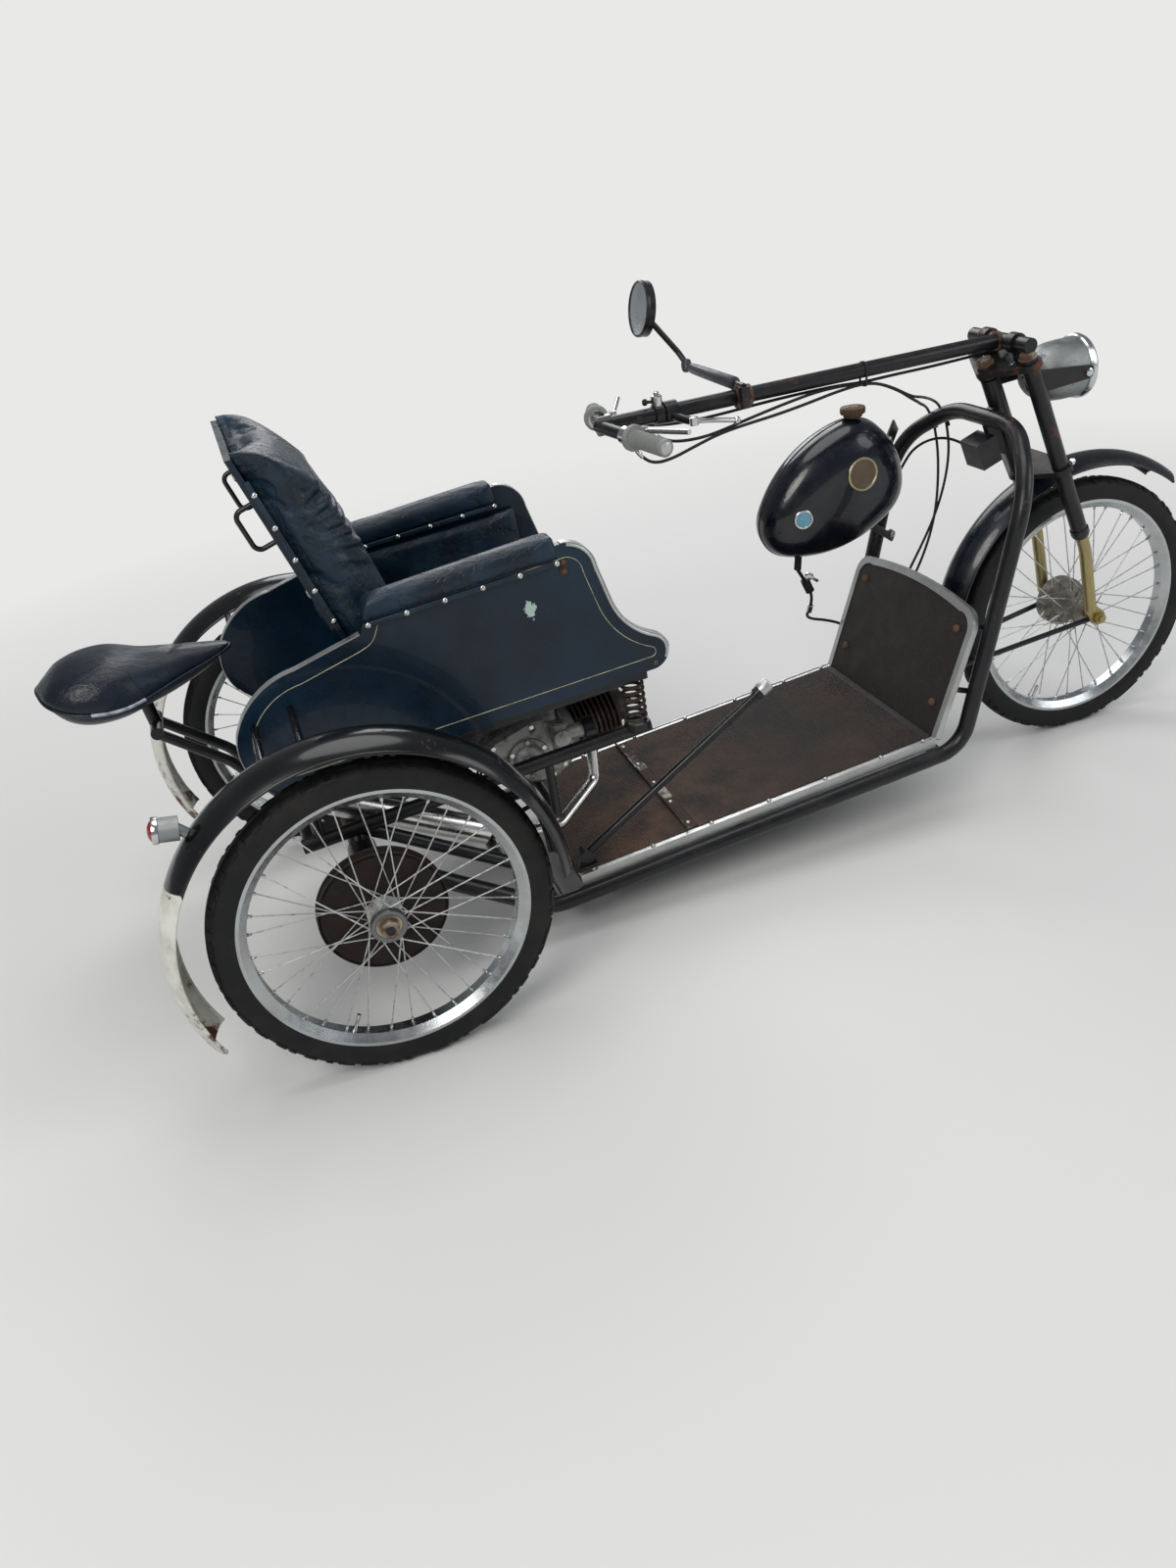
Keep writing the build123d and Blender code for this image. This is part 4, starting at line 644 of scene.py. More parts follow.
# %% Turned pieces, copies and bent rods
def turned(stations, sides, capped=True):
    """A round piece about the Z axis, made as on a lathe from (height, radius) pairs."""
    height, radius = stations[0]
    fill = "NGON" if capped else "NOTHING"
    foot = (0, 0, height * MM)
    bpy.ops.mesh.primitive_circle_add(vertices=sides, radius=radius * MM, fill_type=fill, location=foot)
    piece = bpy.context.object
    bpy.ops.object.transform_apply(location=True, rotation=False, scale=False)
    bpy.context.tool_settings.mesh_select_mode = (False, not capped, capped)
    bpy.ops.object.mode_set(mode="EDIT")
    bpy.ops.mesh.select_all(action="SELECT")
    for next_height, next_radius in stations[1:]:
        step = (0, 0, (next_height - height) * MM)
        if capped:
            bpy.ops.mesh.extrude_region_move(TRANSFORM_OT_translate={"value": step})
        else:
            bpy.ops.mesh.extrude_edges_move(TRANSFORM_OT_translate={"value": step})
        factor = next_radius / radius
        if abs(factor - 1) > 1e-6:
            bpy.ops.transform.resize(value=(factor, factor, 1), center_override=(0, 0, 0))
        height, radius = next_height, next_radius
    leave()
    return piece


def stand(piece, centre, along, spin=0.0):
    """Turn a piece made about Z so that it points along a direction, and move it to its centre."""
    lean = Vector(along).to_track_quat("Z", "Y").to_matrix().to_4x4()
    piece.matrix_world = Matrix.Translation(centre) @ lean @ Matrix.Rotation(spin, 4, "Z")
    return piece


def copy_of(piece):
    """A copy of a piece with a mesh of its own."""
    twin = piece.copy()
    twin.data = piece.data.copy()
    bpy.context.collection.objects.link(twin)
    return twin


def joined(pieces):
    """Several pieces as one object."""
    only(*pieces)
    if len(pieces) > 1:
        bpy.ops.object.join()
    return pieces[0]


def apply_modifier(piece, kind, **settings):
    """Add a modifier with these settings, and make its result the mesh."""
    only(piece)
    modifier = piece.modifiers.new(kind.lower(), kind)
    for key, value in settings.items():
        setattr(modifier, key, value)
    bpy.ops.object.modifier_apply(modifier=modifier.name)


def lathe(name, stations, sides, centre, along, finish, body, angle=35, capped=True):
    """A piece turned from its stations, stood at its place and named."""
    return fit(stand(turned(stations, sides, capped), centre, along), name, finish, body, angle)


def bolts(places, stations, sides, name, finish, body):
    """Copies of one small turned piece, one at each (centre, direction), joined into a single piece."""
    first = turned(stations, sides)
    copies = []
    for index, (centre, along) in enumerate(places):
        copies.append(stand(copy_of(first), centre, along, 0.3 * index))
    bpy.data.objects.remove(first)
    return fit(joined(copies), name, finish, body)


def bent_rod(points, radius, round_edge=3, order=3, closed=False):
    """A round rod or wire along a smooth line, as a mesh."""
    bpy.ops.curve.primitive_nurbs_path_add()
    rod = bpy.context.object
    rod.data.splines.clear()
    line = rod.data.splines.new("NURBS")
    line.points.add(len(points) - 1)
    for place, point in zip(points, line.points):
        point.co = (*place, 1.0)
    line.order_u = order
    line.use_endpoint_u = not closed
    line.use_cyclic_u = closed
    line.resolution_u = 6
    rod.data.dimensions = "3D"
    rod.data.bevel_depth = radius * MM
    rod.data.bevel_resolution = round_edge
    rod.data.use_fill_caps = not closed
    only(rod)
    bpy.ops.object.convert(target="MESH")
    return bpy.context.object


def wire(name, route, radius, finish, body, round_edge=3):
    """A bent rod through (x, y, z) places in millimetres, named."""
    rod = bent_rod([spot(*place) for place in route], radius, round_edge)
    return fit(rod, name, finish, body, 60)


HEX_NUT = [(0, 8), (0.6, 9), (7, 9), (7.6, 8)]
ROUND_HEAD = [(0, 5), (1.4, 4.8), (2.6, 3.6), (3.2, 1.6)]
STUD = [(0, 5.5), (1.2, 5.3), (2.6, 4.2), (3.6, 2.4), (3.9, 0.7)]
print("Shaping tools are ready")

# %% [markdown]
# ## Tyres with a block tread
#
# The tyres are black and narrow, with a rib round the middle and a row of small blocks on each shoulder.
# A bump would do for a far view, but the tread shows against the pale floor, so it is real geometry.
# The casing is turned like a wooden ring, and then every other face of the shoulders is raised.

# %% Turn the casing and raise the tread
CASING = [
    # along the axle, radius
    (-15, 246), (-21, 250), (-25.5, 259), (-27.6, 271), (-27, 281), (-24.6, 287.5), (-22, 291),
    (-14, 295), (-10.5, 294.5), (-8, 296.8), (8, 296.8), (10.5, 294.5), (14, 295),
    (22, 291), (24.6, 287.5), (27, 281), (27.6, 271), (25.5, 259), (21, 250), (15, 246),
]
STEPS = 180
tyre_pattern = turned(CASING, STEPS, capped=False)


def on_shoulder(middle, normal):
    """Every other face of the two shoulders."""
    step = int(math.floor(math.degrees(math.atan2(middle.y, middle.x)) / (360 / STEPS) + 0.5))
    off_middle = abs(middle.z) * 1000
    return step % 2 == 0 and 14 < off_middle < 26 and middle.xy.length > 0.288


edit(tyre_pattern, "FACE", on_shoulder)
bpy.ops.mesh.extrude_region_shrink_fatten(TRANSFORM_OT_shrink_fatten={"value": 0.0024})
leave()
edit(tyre_pattern, "FACE", lambda middle, normal: abs(middle.z) < 0.006)
bpy.ops.mesh.inset(thickness=0.0022)
bpy.ops.transform.shrink_fatten(value=0.0014)
leave()
reach = max(corner.co.xy.length for corner in tyre_pattern.data.vertices)
print("Tread reaches", round(reach * 1000, 1), "mm from the axle")
for name, (centre, body) in WHEEL_PLACES.items():
    tyre = stand(copy_of(tyre_pattern), centre, (0, 1, 0))
    fit(tyre, "tread_tyre_" + name, tyre_plain, body, 28)
    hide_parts("tyre_" + name)
bpy.data.objects.remove(tyre_pattern)

# %% [markdown]
# ## Coil springs
#
# Two coil springs carry the front of the seat. A spring is a round wire along a helix,
# so its centre line is worked out turn by turn. At each end it lies flat, as on a real spring.

# %% Wind the springs
spring_low, spring_high = (corner[2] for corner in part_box("seat_springs"))
TURNS, PER_TURN = 6, 14
COIL_RADIUS = 0.0205
coils = []
for side in (-1, 1):
    points = []
    middle = spot(566, side * 205, 0)
    for step in range(TURNS * PER_TURN + 1):
        share = step / (TURNS * PER_TURN)
        flat = min(1, max(0, (share * TURNS - 0.4) / (TURNS - 0.8)))
        angle = share * TURNS * 2 * math.pi
        lift = spring_low + 0.004 + flat * (spring_high - spring_low - 0.008)
        x, y = middle.x + COIL_RADIUS * math.cos(angle), middle.y + COIL_RADIUS * math.sin(angle)
        points.append((x, y, lift))
    coils.append(bent_rod(points, 3.6, 2, 4))
spring = fit(joined(coils), "wound_springs", spring_rust, "carriage", 60)
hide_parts("seat_springs")
print("Spring length in metres:", round(spring_high - spring_low, 3))

# %% [markdown]
# ## Pinstripe on the side panels
#
# A thin pale line runs round each side panel, about 26 mm in from its edge.
# It has to follow the panel's curved outline, so the outline is read from the edge of the panel's outer face.
# Each point is then moved inwards, and points that come too near another edge are left out.


# %% Follow the panel's edge
def outline_of(node, side):
    """The border of a flat face at the outer side of a piece, in order, as (x, z) pairs."""
    mesh = node.data
    outer = max(side * v.co.y for v in mesh.vertices)
    counts = {}
    for face in mesh.polygons:
        places = [tuple(round(c, 5) for c in mesh.vertices[i].co) for i in face.vertices]
        if all(abs(side * place[1] - outer) < 0.0004 for place in places):
            for start, end in zip(places, places[1:] + places[:1]):
                a, b = (start[0], start[2]), (end[0], end[2])
                counts[(a, b)] = counts.get((a, b), 0) + 1
    border = {a: b for a, b in counts if (b, a) not in counts}
    chain = [next(iter(border))]
    while border[chain[-1]] != chain[0] and len(chain) < len(border):
        chain.append(border[chain[-1]])
    return [Vector(place) for place in chain], outer


def inset_line(border, inwards):
    """A line a fixed way inside a border, on evenly spaced points."""
    long_way = sum((b - a).length for a, b in zip(border, border[1:] + border[:1]))
    even, gap = [], long_way / 240
    for a, b in zip(border, border[1:] + border[:1]):
        for step in range(max(1, round((b - a).length / gap))):
            even.append(a.lerp(b, step / max(1, round((b - a).length / gap))))
    area = sum(a.x * b.y - b.x * a.y for a, b in zip(even, even[1:] + even[:1]))
    facing = 1 if area > 0 else -1
    line = []
    for index, here in enumerate(even):
        along = (even[(index + 2) % len(even)] - even[index - 2]).normalized()
        moved = here + Vector((-along.y, along.x)) * facing * inwards
        if min((moved - other).length for other in even) > inwards * 0.985:
            line.append(moved)
    return line


stripes = []
for side in (-1, 1):
    border, outer = outline_of(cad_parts["seat_panels"], side)
    line = inset_line(border, 0.026)
    points = [(place.x, side * (outer + 0.00005), place.y) for place in line]
    stripes.append(bent_rod(points, 0.75, 1, 3, closed=True))
fit(joined(stripes), "panel_pinstripes", stripe_paint, "carriage", 60)

# %% Bright bead on the front edge of each panel
beads = []
for side in (-1, 1):
    border, outer = outline_of(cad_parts["seat_panels"], side)
    line = inset_line(border, 0.0035)
    at_front = [place.x > spot(468, 0, 0).x and place.y > 0.545 for place in line]
    first = next(i for i in range(len(line)) if at_front[i] and not at_front[i - 1])
    run = []
    while at_front[(first + len(run)) % len(line)]:
        run.append(line[(first + len(run)) % len(line)])
    beads.append(bent_rod([(place.x, side * (outer - 0.0005), place.y) for place in run], 3.4, 3))
fit(joined(beads), "panel_front_bead", aluminium, "carriage", 60)
print("Pinstripe follows", len(border), "edge points")

# %% [markdown]
# ## Padding, filled like a balloon
#
# A cushion isn't a block with round edges. Its cloth is pulled tight at the seams and swells between them.
# Blender's cloth simulation does that: the shell starts a little too small, has air blown into it, and is
# stopped after a few frames. Points that moved too far are pulled back, and the pad keeps its place.


# %% Blow up a closed shell
VOXEL = 5.0
CLOTH_FRAMES = 20


def swell(piece, cap, start_small, pressure=4.0, keep=None):
    """Remesh a closed piece, fill it with air as cloth, and move no point further than cap."""
    only(piece)
    bpy.ops.object.transform_apply(location=True, rotation=True, scale=True)
    apply_modifier(piece, "REMESH", mode="VOXEL", voxel_size=VOXEL * MM)
    apply_modifier(piece, "SMOOTH", iterations=6)
    edit(piece, "VERT", lambda corner, normal: True)
    bpy.ops.transform.shrink_fatten(value=-start_small * MM)
    leave()
    before = [corner.co.copy() for corner in piece.data.vertices]
    cloth = piece.modifiers.new("air", "CLOTH")
    cloth.settings.use_pressure = True
    cloth.settings.uniform_pressure_force = pressure
    cloth.settings.effector_weights.gravity = 0
    cloth.settings.quality = 4
    cloth.settings.tension_stiffness = 12
    cloth.settings.bending_stiffness = 0.6
    cloth.collision_settings.use_self_collision = False
    cloth.point_cache.frame_start = 1
    cloth.point_cache.frame_end = CLOTH_FRAMES
    for step in range(1, CLOTH_FRAMES + 1):
        bpy.context.scene.frame_set(step)
    only(piece)
    bpy.ops.object.modifier_apply(modifier=cloth.name)
    bpy.context.scene.frame_set(1)
    for corner, old in zip(piece.data.vertices, before):
        moved = corner.co - old
        if moved.length > cap * MM:
            corner.co = old + moved.normalized() * cap * MM
        if keep:
            corner.co = keep(corner.co)
    return piece


def pull_folds(piece, folds, seen_from=None):
    """Raise long folds of cloth. Each fold has its start, end, half width and height in millimetres.

    With seen_from, the folds lie on the side of the piece that faces this way, at any depth.
    """
    for corner in piece.data.vertices:
        if seen_from and corner.normal.dot(seen_from) < 0.15:
            continue
        lift = 0.0
        for start, end, half_width, height in folds:
            line = end - start
            offset = corner.co - start
            if seen_from:
                line = line - seen_from * line.dot(seen_from)
                offset = offset - seen_from * offset.dot(seen_from)
            share = offset.dot(line) / line.length_squared
            if 0 < share < 1:
                off = (offset - line * share).length / (half_width * MM)
                if off < 3:
                    lift += height * MM * math.sin(math.pi * share ** 0.7) * math.exp(-off * off)
        if lift:
            corner.co += corner.normal * lift


def smooth_piece(piece):
    """Even out the faces, and add one subdivision."""
    apply_modifier(piece, "SMOOTH", iterations=1)
    apply_modifier(piece, "SUBSURF", levels=1, render_levels=1)


def shell_of(node_name):
    """A closed copy of a CAD piece's mesh, ready to be shaped."""
    piece = copy_of(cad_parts[node_name])
    piece.parent = None
    piece.matrix_world = Matrix()
    edit(piece, "VERT", lambda corner, normal: True)
    bpy.ops.mesh.remove_doubles(threshold=0.00001)
    leave()
    return piece


print("Cloth tools are ready. Quick look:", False)

# %% [markdown]
# ## Backrest
#
# The backrest is one thick pad of leather-cloth over a board. It is fullest at half height.
# On the right side the cloth has slipped, so a few folds fan out from the edge.

# %% Backrest pad
NEAR_BOARD = 0.012


def on_board(place):
    """Lay what comes near the board flat against it."""
    board_front = (board_line(place.z * 1000) + 12.5 - AXLE_BACK) * MM
    return Vector((board_front, place.y, place.z)) if place.x < board_front + NEAR_BOARD else place


back = swell(shell_of("backrest_pad"), 22, 3, pressure=5, keep=on_board)
for corner in back.data.vertices:
    if corner.normal.x > 0.1:
        height = (corner.co.z - 0.606) / 0.44
        width = corner.co.y / 0.19
        if 0 < height < 1 and abs(width) < 1:
            corner.co.x += 0.016 * math.sin(math.pi * height) * (1 - width ** 4)
FAN = [
    # start: y and z, end: y and z, half width, height
    (-188, 930, -52, 968, 7, 6.5),
    (-190, 918, -8, 936, 8, 8.0),
    (-191, 903, 8, 904, 9, 9.0),
    (-190, 888, -22, 872, 9, 7.5),
    (-188, 872, -58, 838, 9, 6.0),
    (-186, 950, -96, 1002, 7, 4.5),
    (-184, 846, -92, 800, 10, 4.5),
    (188, 946, 92, 972, 9, 3.5),
    (190, 900, 70, 892, 10, 4.0),
    (-170, 664, -20, 690, 12, 5.0),
    (170, 668, 10, 694, 12, 5.0),
]
folds = []
for y, z, y_end, z_end, half, high in FAN:
    folds.append((spot(0, y, z), spot(0, y_end, z_end), half, high))
# A hollow runs below each fold that fans out on the right.
for y, z, y_end, z_end, half, high in FAN[:7]:
    folds.append((spot(0, y, z - 8), spot(0, y_end, z_end - 16), half, -0.8 * high))
pull_folds(back, folds, Vector((1, 0, 0)))
smooth_piece(back)
fit(back, "backrest_cover", seat_cloth, "carriage", 80)
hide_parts("backrest_pad")
print("Backrest corners:", len(back.data.vertices))

# %% Seat cushion
cushion = swell(shell_of("seat_cushion"), 18, 9, pressure=5)
pull_folds(cushion, [
    (spot(565, -150, 600), spot(400, -60, 600), 14, -5.0),
    (spot(565, 150, 600), spot(410, 50, 600), 14, -5.0),
    (spot(560, -60, 600), spot(440, -20, 600), 10, 3.0),
    (spot(560, 70, 600), spot(450, 30, 600), 10, 3.0),
    (spot(150, -170, 600), spot(290, -80, 600), 12, 4.0),
    (spot(150, 170, 600), spot(280, 90, 600), 12, 4.0),
], Vector((0, 0, 1)))
smooth_piece(cushion)
fit(cushion, "seat_cushion_cover", seat_cloth, "carriage", 80)
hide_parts("seat_cushion")

# %% [markdown]
# ## Arm pads and linings
#
# Each arm has a round pad along its top and a thin lining down its inner face.
# The pad's cloth is gathered at the front end and held along its lower edges by a welt with bright studs.
# The panel runs inside the pad, so the pad is a closed form of its own over it.

# %% Blocks with sloping ends
def sloping_block(corners, y_low, y_high, rounding):
    """A block whose side is four (x, z) corners, from y_low to y_high, with rounded edges."""
    bpy.ops.mesh.primitive_cube_add(size=1)
    block = bpy.context.object
    low_back, low_front, high_front, high_back = corners
    ends = {(0, 0): low_back, (1, 0): low_front, (1, 1): high_front, (0, 1): high_back}
    for corner in block.data.vertices:
        x, z = ends[(corner.co.x > 0, corner.co.z > 0)]
        corner.co = spot(x, y_high if corner.co.y > 0 else y_low, z)
    edit(block, "VERT", lambda corner, normal: True)
    bpy.ops.mesh.bevel(offset=rounding * MM, segments=4, affect="EDGES")
    leave()
    return block


# %% Arm pads
PAD_REAR, PAD_FRONT = spot(88, 0, 737), spot(458, 0, 768)


def keep_flat(place):
    """Keep the pad above the line between its two lower corners."""
    share = (place.x - PAD_REAR.x) / (PAD_FRONT.x - PAD_REAR.x)
    lowest = PAD_REAR.z + share * (PAD_FRONT.z - PAD_REAR.z)
    return Vector((place.x, place.y, max(place.z, lowest)))


for side, side_name in SIDES:
    low_y, high_y = sorted((side * 188, side * 249))
    pad = sloping_block([(88, 737), (458, 768), (452, 826), (98, 790)], low_y, high_y, 16)
    swell(pad, 9, 4, pressure=4, keep=keep_flat)
    gathers = []
    for step in range(7):
        start = spot(464, side * (196 + step * 8), 806 - abs(step - 3) * 5)
        gathers.append((start, spot(410, side * (205 + step * 5), 834), 2.6, -2.4))
    gathers.append((spot(120, side * 240, 775), spot(210, side * 222, 806), 7, 2.2))
    pull_folds(pad, gathers)
    smooth_piece(pad)
    fit(pad, "arm_pad_" + side_name, seat_cloth, "carriage", 80)

# %% Arm linings
for side, side_name in SIDES:
    low_y, high_y = sorted((side * 199, side * 223.6))
    lining = sloping_block([(112, 508), (516, 537), (498, 764), (116, 740)], low_y, high_y, 8)
    swell(lining, 6, 4, pressure=3)
    pull_folds(lining, [
        (spot(470, side * 199, 700), spot(330, side * 199, 640), 16, 2.5),
        (spot(180, side * 199, 560), spot(300, side * 199, 620), 14, 2.0),
    ])
    smooth_piece(lining)
    fit(lining, "arm_lining_" + side_name, seat_cloth, "carriage", 80)
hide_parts("armrests")

# %% [markdown]
# ## Welts and studs
#
# A welt is a narrow folded strip that covers the edge of the cloth. Upholstery studs hold it every 66 mm.
# The stud is turned once and copied to each place.

# %% Welts along the arms and the back
def strip(start, end, outward, width, thick):
    """A narrow flat strip between two places, lying with its back to outward."""
    bpy.ops.mesh.primitive_cube_add(size=1, location=(0, 0, 0))
    bar = bpy.context.object
    run = end - start
    side_way = Vector(outward).normalized()
    across = run.normalized().cross(side_way)
    lie = Matrix((run.normalized(), across, side_way)).transposed().to_4x4()
    bar.matrix_world = Matrix.Translation((start + end) / 2) @ lie
    bar.scale = (run.length, width * MM, thick * MM)
    bpy.ops.object.transform_apply(location=False, rotation=False, scale=True)
    edit(bar, "VERT", lambda corner, normal: True)
    bpy.ops.mesh.bevel(offset=thick * 0.42 * MM, segments=3, affect="EDGES")
    leave()
    return bar


welts, stud_places = [], []


def studded_welt(start, end, outward, shares):
    """A welt between two places, with a stud at each share of its length."""
    welts.append(strip(start, end, (0, outward, 0), 9, 3))
    for share in shares:
        stud_places.append((start.lerp(end, share) + Vector((0, outward * 1.4 * MM, 0)), (0, outward, 0)))


for side in (-1, 1):
    for y, outward in ((side * 248.5, side), (side * 188.5, -side)):
        arm_ends = spot(94, y, 744), spot(452, y, 773.5)
        studded_welt(*arm_ends, outward, [0.02 + step * 0.192 for step in range(6)])
    back_ends = spot(94, side * 191, 612), spot(-32, side * 191, 1008)
    studded_welt(*back_ends, side, [0.04 + step * 0.15 for step in range(7)])
fit(joined(welts), "leather_welts", seat_cloth, "carriage", 60)
bolts(stud_places, STUD, 14, "upholstery_studs", chrome, "carriage")
print("Studs:", len(stud_places))

# %% [markdown]
# ## Saddle
#
# Behind the backrest is a small saddle for a second person. It is wide at the back and narrow in front.
# Its leather is stretched hard over a steel pan, so it doesn't bulge as a cushion does.
# It is a crowned form with a lip round its edge, below which it tucks in.
# A sphere has its points moved to that form, and its equator becomes the lip.
# A remesh then evens out its faces, so that no pole of the sphere shows.

# %% Rear saddle
SADDLE_MIDDLE = Vector((-385, 0))
SADDLE_EDGE = [
    # x, y
    (-478, 0), (-472, 36), (-456, 76), (-420, 101), (-374, 108), (-326, 100),
    (-282, 76), (-242, 52), (-200, 37), (-160, 28), (-138, 17), (-131, 0),
]
SADDLE_HEIGHTS = [
    # x, top, lip, bottom
    (-478, 702, 684, 654),
    (-430, 722, 662, 614),
    (-350, 727, 648, 606),
    (-280, 716, 652, 612),
    (-200, 708, 667, 632),
    (-130, 706, 685, 656),
]


def along_table(table, x):
    """Values of a table at x, on a smooth curve through its rows."""
    x = min(max(x, table[0][0]), table[-1][0])
    row = max(number for number in range(len(table) - 1) if table[number][0] <= x)
    before, start, end, after = (table[min(max(row + step, 0), len(table) - 1)] for step in (-1, 0, 1, 2))
    span = end[0] - start[0]
    t = (x - start[0]) / span
    values = []
    for column in range(1, len(start)):
        rise = end[column] - start[column]
        slope_out = (end[column] - before[column]) / (end[0] - before[0]) * span
        slope_in = (after[column] - start[column]) / (after[0] - start[0]) * span
        squared = 3 * rise - 2 * slope_out - slope_in
        cubed = slope_out + slope_in - 2 * rise
        values.append(start[column] + t * (slope_out + t * (squared + t * cubed)))
    return values


edge_angles = []
for x, y in SADDLE_EDGE:
    away = Vector((x, y)) - SADDLE_MIDDLE
    edge_angles.append((-math.atan2(away.y, away.x), away.length))
# The edge is mirrored past both of its ends, so that its curve runs straight across the middle line.
edge_angles[:0] = [(-2 * math.pi - edge_angles[1][0], edge_angles[1][1])]
edge_angles.append((-edge_angles[-2][0], edge_angles[-2][1]))


def saddle_reach(angle):
    """How far the saddle's edge is from its middle, in a direction seen from above."""
    return along_table(edge_angles, -abs(angle))[0]


bpy.ops.mesh.primitive_uv_sphere_add(segments=128, ring_count=64, radius=1)
seat_rear = bpy.context.object
for corner in seat_rear.data.vertices:
    flat = corner.co.xy
    share = flat.length ** (2 / 3.4) if corner.co.z >= -0.001 else 0.95 * flat.length ** (2 / 1.7)
    x, y = SADDLE_MIDDLE
    if flat.length > 0.001:
        x, y = SADDLE_MIDDLE + flat.normalized() * share * saddle_reach(math.atan2(flat.y, flat.x))
    top, lip, bottom = along_table(SADDLE_HEIGHTS, x)
    up = abs(corner.co.z) ** (2 / 2.2)
    corner.co = spot(x, y, lip + up * ((top - lip) if corner.co.z > 0 else (bottom - lip)))
apply_modifier(seat_rear, "REMESH", mode="VOXEL", voxel_size=3.5 * MM)
apply_modifier(seat_rear, "SMOOTH", iterations=5)
pull_folds(seat_rear, [
    (spot(-250, -30, 700), spot(-215, 26, 700), 9, -3.0),
    (spot(-440, -60, 700), spot(-330, -20, 700), 26, -2.5),
    (spot(-440, 60, 700), spot(-330, 20, 700), 26, -2.5),
], Vector((0, 0, 1)))
fit(seat_rear, "saddle_cover", saddle_cloth, "carriage", 80)
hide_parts("saddle")

# %% Piping round the lip, and its worn stretch with a painted highlight
def on_lip(angle):
    """A place on the saddle's lip."""
    way = Vector((math.cos(angle), math.sin(angle)))
    x, y = SADDLE_MIDDLE + way * (saddle_reach(angle) + 0.6)
    return spot(x, y, along_table(SADDLE_HEIGHTS, x)[1])


piping = bent_rod([on_lip(math.pi * (step / 45 - 1)) for step in range(90)], 2.6, 3, 3, closed=True)
fit(piping, "saddle_piping", saddle_cloth, "carriage", 60)
# A pale stretch of the lip on the right flank: wear, and a painted highlight along the lip.
worn_highlit_line = [on_lip(-math.radians(degrees)) for degrees in range(44, 94, 6)]
worn_highlit_edge = bent_rod(worn_highlit_line, 3.1, 3)
fit(worn_highlit_edge, "saddle_worn_edge", worn_blue_and_highlight, "carriage", 60)

# %% [markdown]
# ## Wheel details
#
# Every spoke ends in a nipple at the rim, and each rim has a valve.
# A rear hub has a steel ring on its outer face. In it stand the axle's rusty nut and brass-coloured tip.
# The rear drums stand inside the wheels, with a raised lip on each edge.

# %% Nipples and valves
SPOKES = 36
SPOKE_SWEEP = math.radians(58)
VALVE_AT = math.radians(244)
VALVE = [(0, 5), (3, 5), (3.5, 3.2), (22, 3.2), (23, 4), (33, 4), (34, 2.6)]
nipple_pattern = turned([(0, 2.2), (1, 3.0), (8, 3.0), (9.5, 2.2)], 8)
for name, (centre, body) in WHEEL_PLACES.items():
    flange = 33 if name == "front" else 20
    nipples = []
    for index in range(SPOKES):
        side = 1 if index % 2 else -1
        lean = 1 if (index // 2) % 2 else -1
        out = math.radians(360 / SPOKES * index)
        inn = out + lean * SPOKE_SWEEP
        rim_end = centre + Vector((232 * math.cos(out), side * 4, 232 * math.sin(out))) * MM
        hub_end = centre + Vector((28 * math.cos(inn), side * flange, 28 * math.sin(inn))) * MM
        inward = (hub_end - rim_end).normalized()
        nipples.append(stand(copy_of(nipple_pattern), rim_end - inward * 0.001, inward))
    radial = Vector((math.cos(VALVE_AT), 0, math.sin(VALVE_AT)))
    nipples.append(stand(turned(VALVE, 16), centre + radial * 0.2335, -radial))
    fit(joined(nipples), "nipples_" + name, chrome, body, 40)
bpy.data.objects.remove(nipple_pattern)

# %% Hub rings, nuts and drum lips
HUB_RING = [(0, 31.5), (8, 32), (11, 30.5), (12, 26), (11, 22.5), (8, 21.5)]
DRUM_LIP = [(0, 109), (0, 113.5), (1.2, 114.5), (5, 114.5), (6, 113.5), (6, 109)]
AXLE_NUT = [(0, 16), (1, 18.2), (9, 18.2), (10.5, 16)]
AXLE_TIP = [(0, 20), (1.8, 20), (2, 9), (12, 9), (12.8, 7.5)]
for side, name in SIDES:
    out = (0, side, 0)
    body = "rear_wheel_" + name
    ring_place, nut_place, tip_place = (spot(0, side * y, AXLE_HEIGHT) for y in (471, 484, 482))
    lathe("hub_ring_" + name, HUB_RING, 48, ring_place, out, hub_ring_steel, body, capped=False)
    lips = []
    for y in (401.5, 421.5):
        lips.append(stand(turned(DRUM_LIP, 96, capped=False), spot(0, side * y, AXLE_HEIGHT), out))
    fit(joined(lips), "drum_lips_" + name, drum_rust, body)
    bolts([(nut_place, out)], AXLE_NUT, 6, "axle_nut_" + name, cap_rust, "carriage")
    lathe("axle_tip_" + name, AXLE_TIP, 28, tip_place, out, slider_plate, "carriage")

# %% [markdown]
# ## Tank
#
# The tank is pressed from two halves, and their welded edge shows as a fine bead round the middle.
# On its right side it has a large round disc and a small one. Both are left plain here.
# A tap under it feeds a hose, which follows the left leg of the arch and the left rail back to the engine.

# %% Rounded tank, weld bead and plain discs
TANK_ROUNDS = [(1084, 604, 78), (1236, 710, 92), (1270, 650, 86)]
TANK_CENTRE = Vector((1188, 660))
TANK_HALF = 70
TANK_SIDE = 150
TANK_SPREAD = 8


def reach_of(angle):
    """How far the tank's side view reaches along a direction.

    Directions near it are averaged in, so that straight stretches bulge a little.
    """
    total = 0.0
    for step in range(-TANK_SPREAD, TANK_SPREAD + 1):
        near = angle + step * 0.055
        way = Vector((math.cos(near), math.sin(near)))
        total += max((Vector((x, z)) - TANK_CENTRE).dot(way) + radius for x, z, radius in TANK_ROUNDS)
    return total / (2 * TANK_SPREAD + 1)


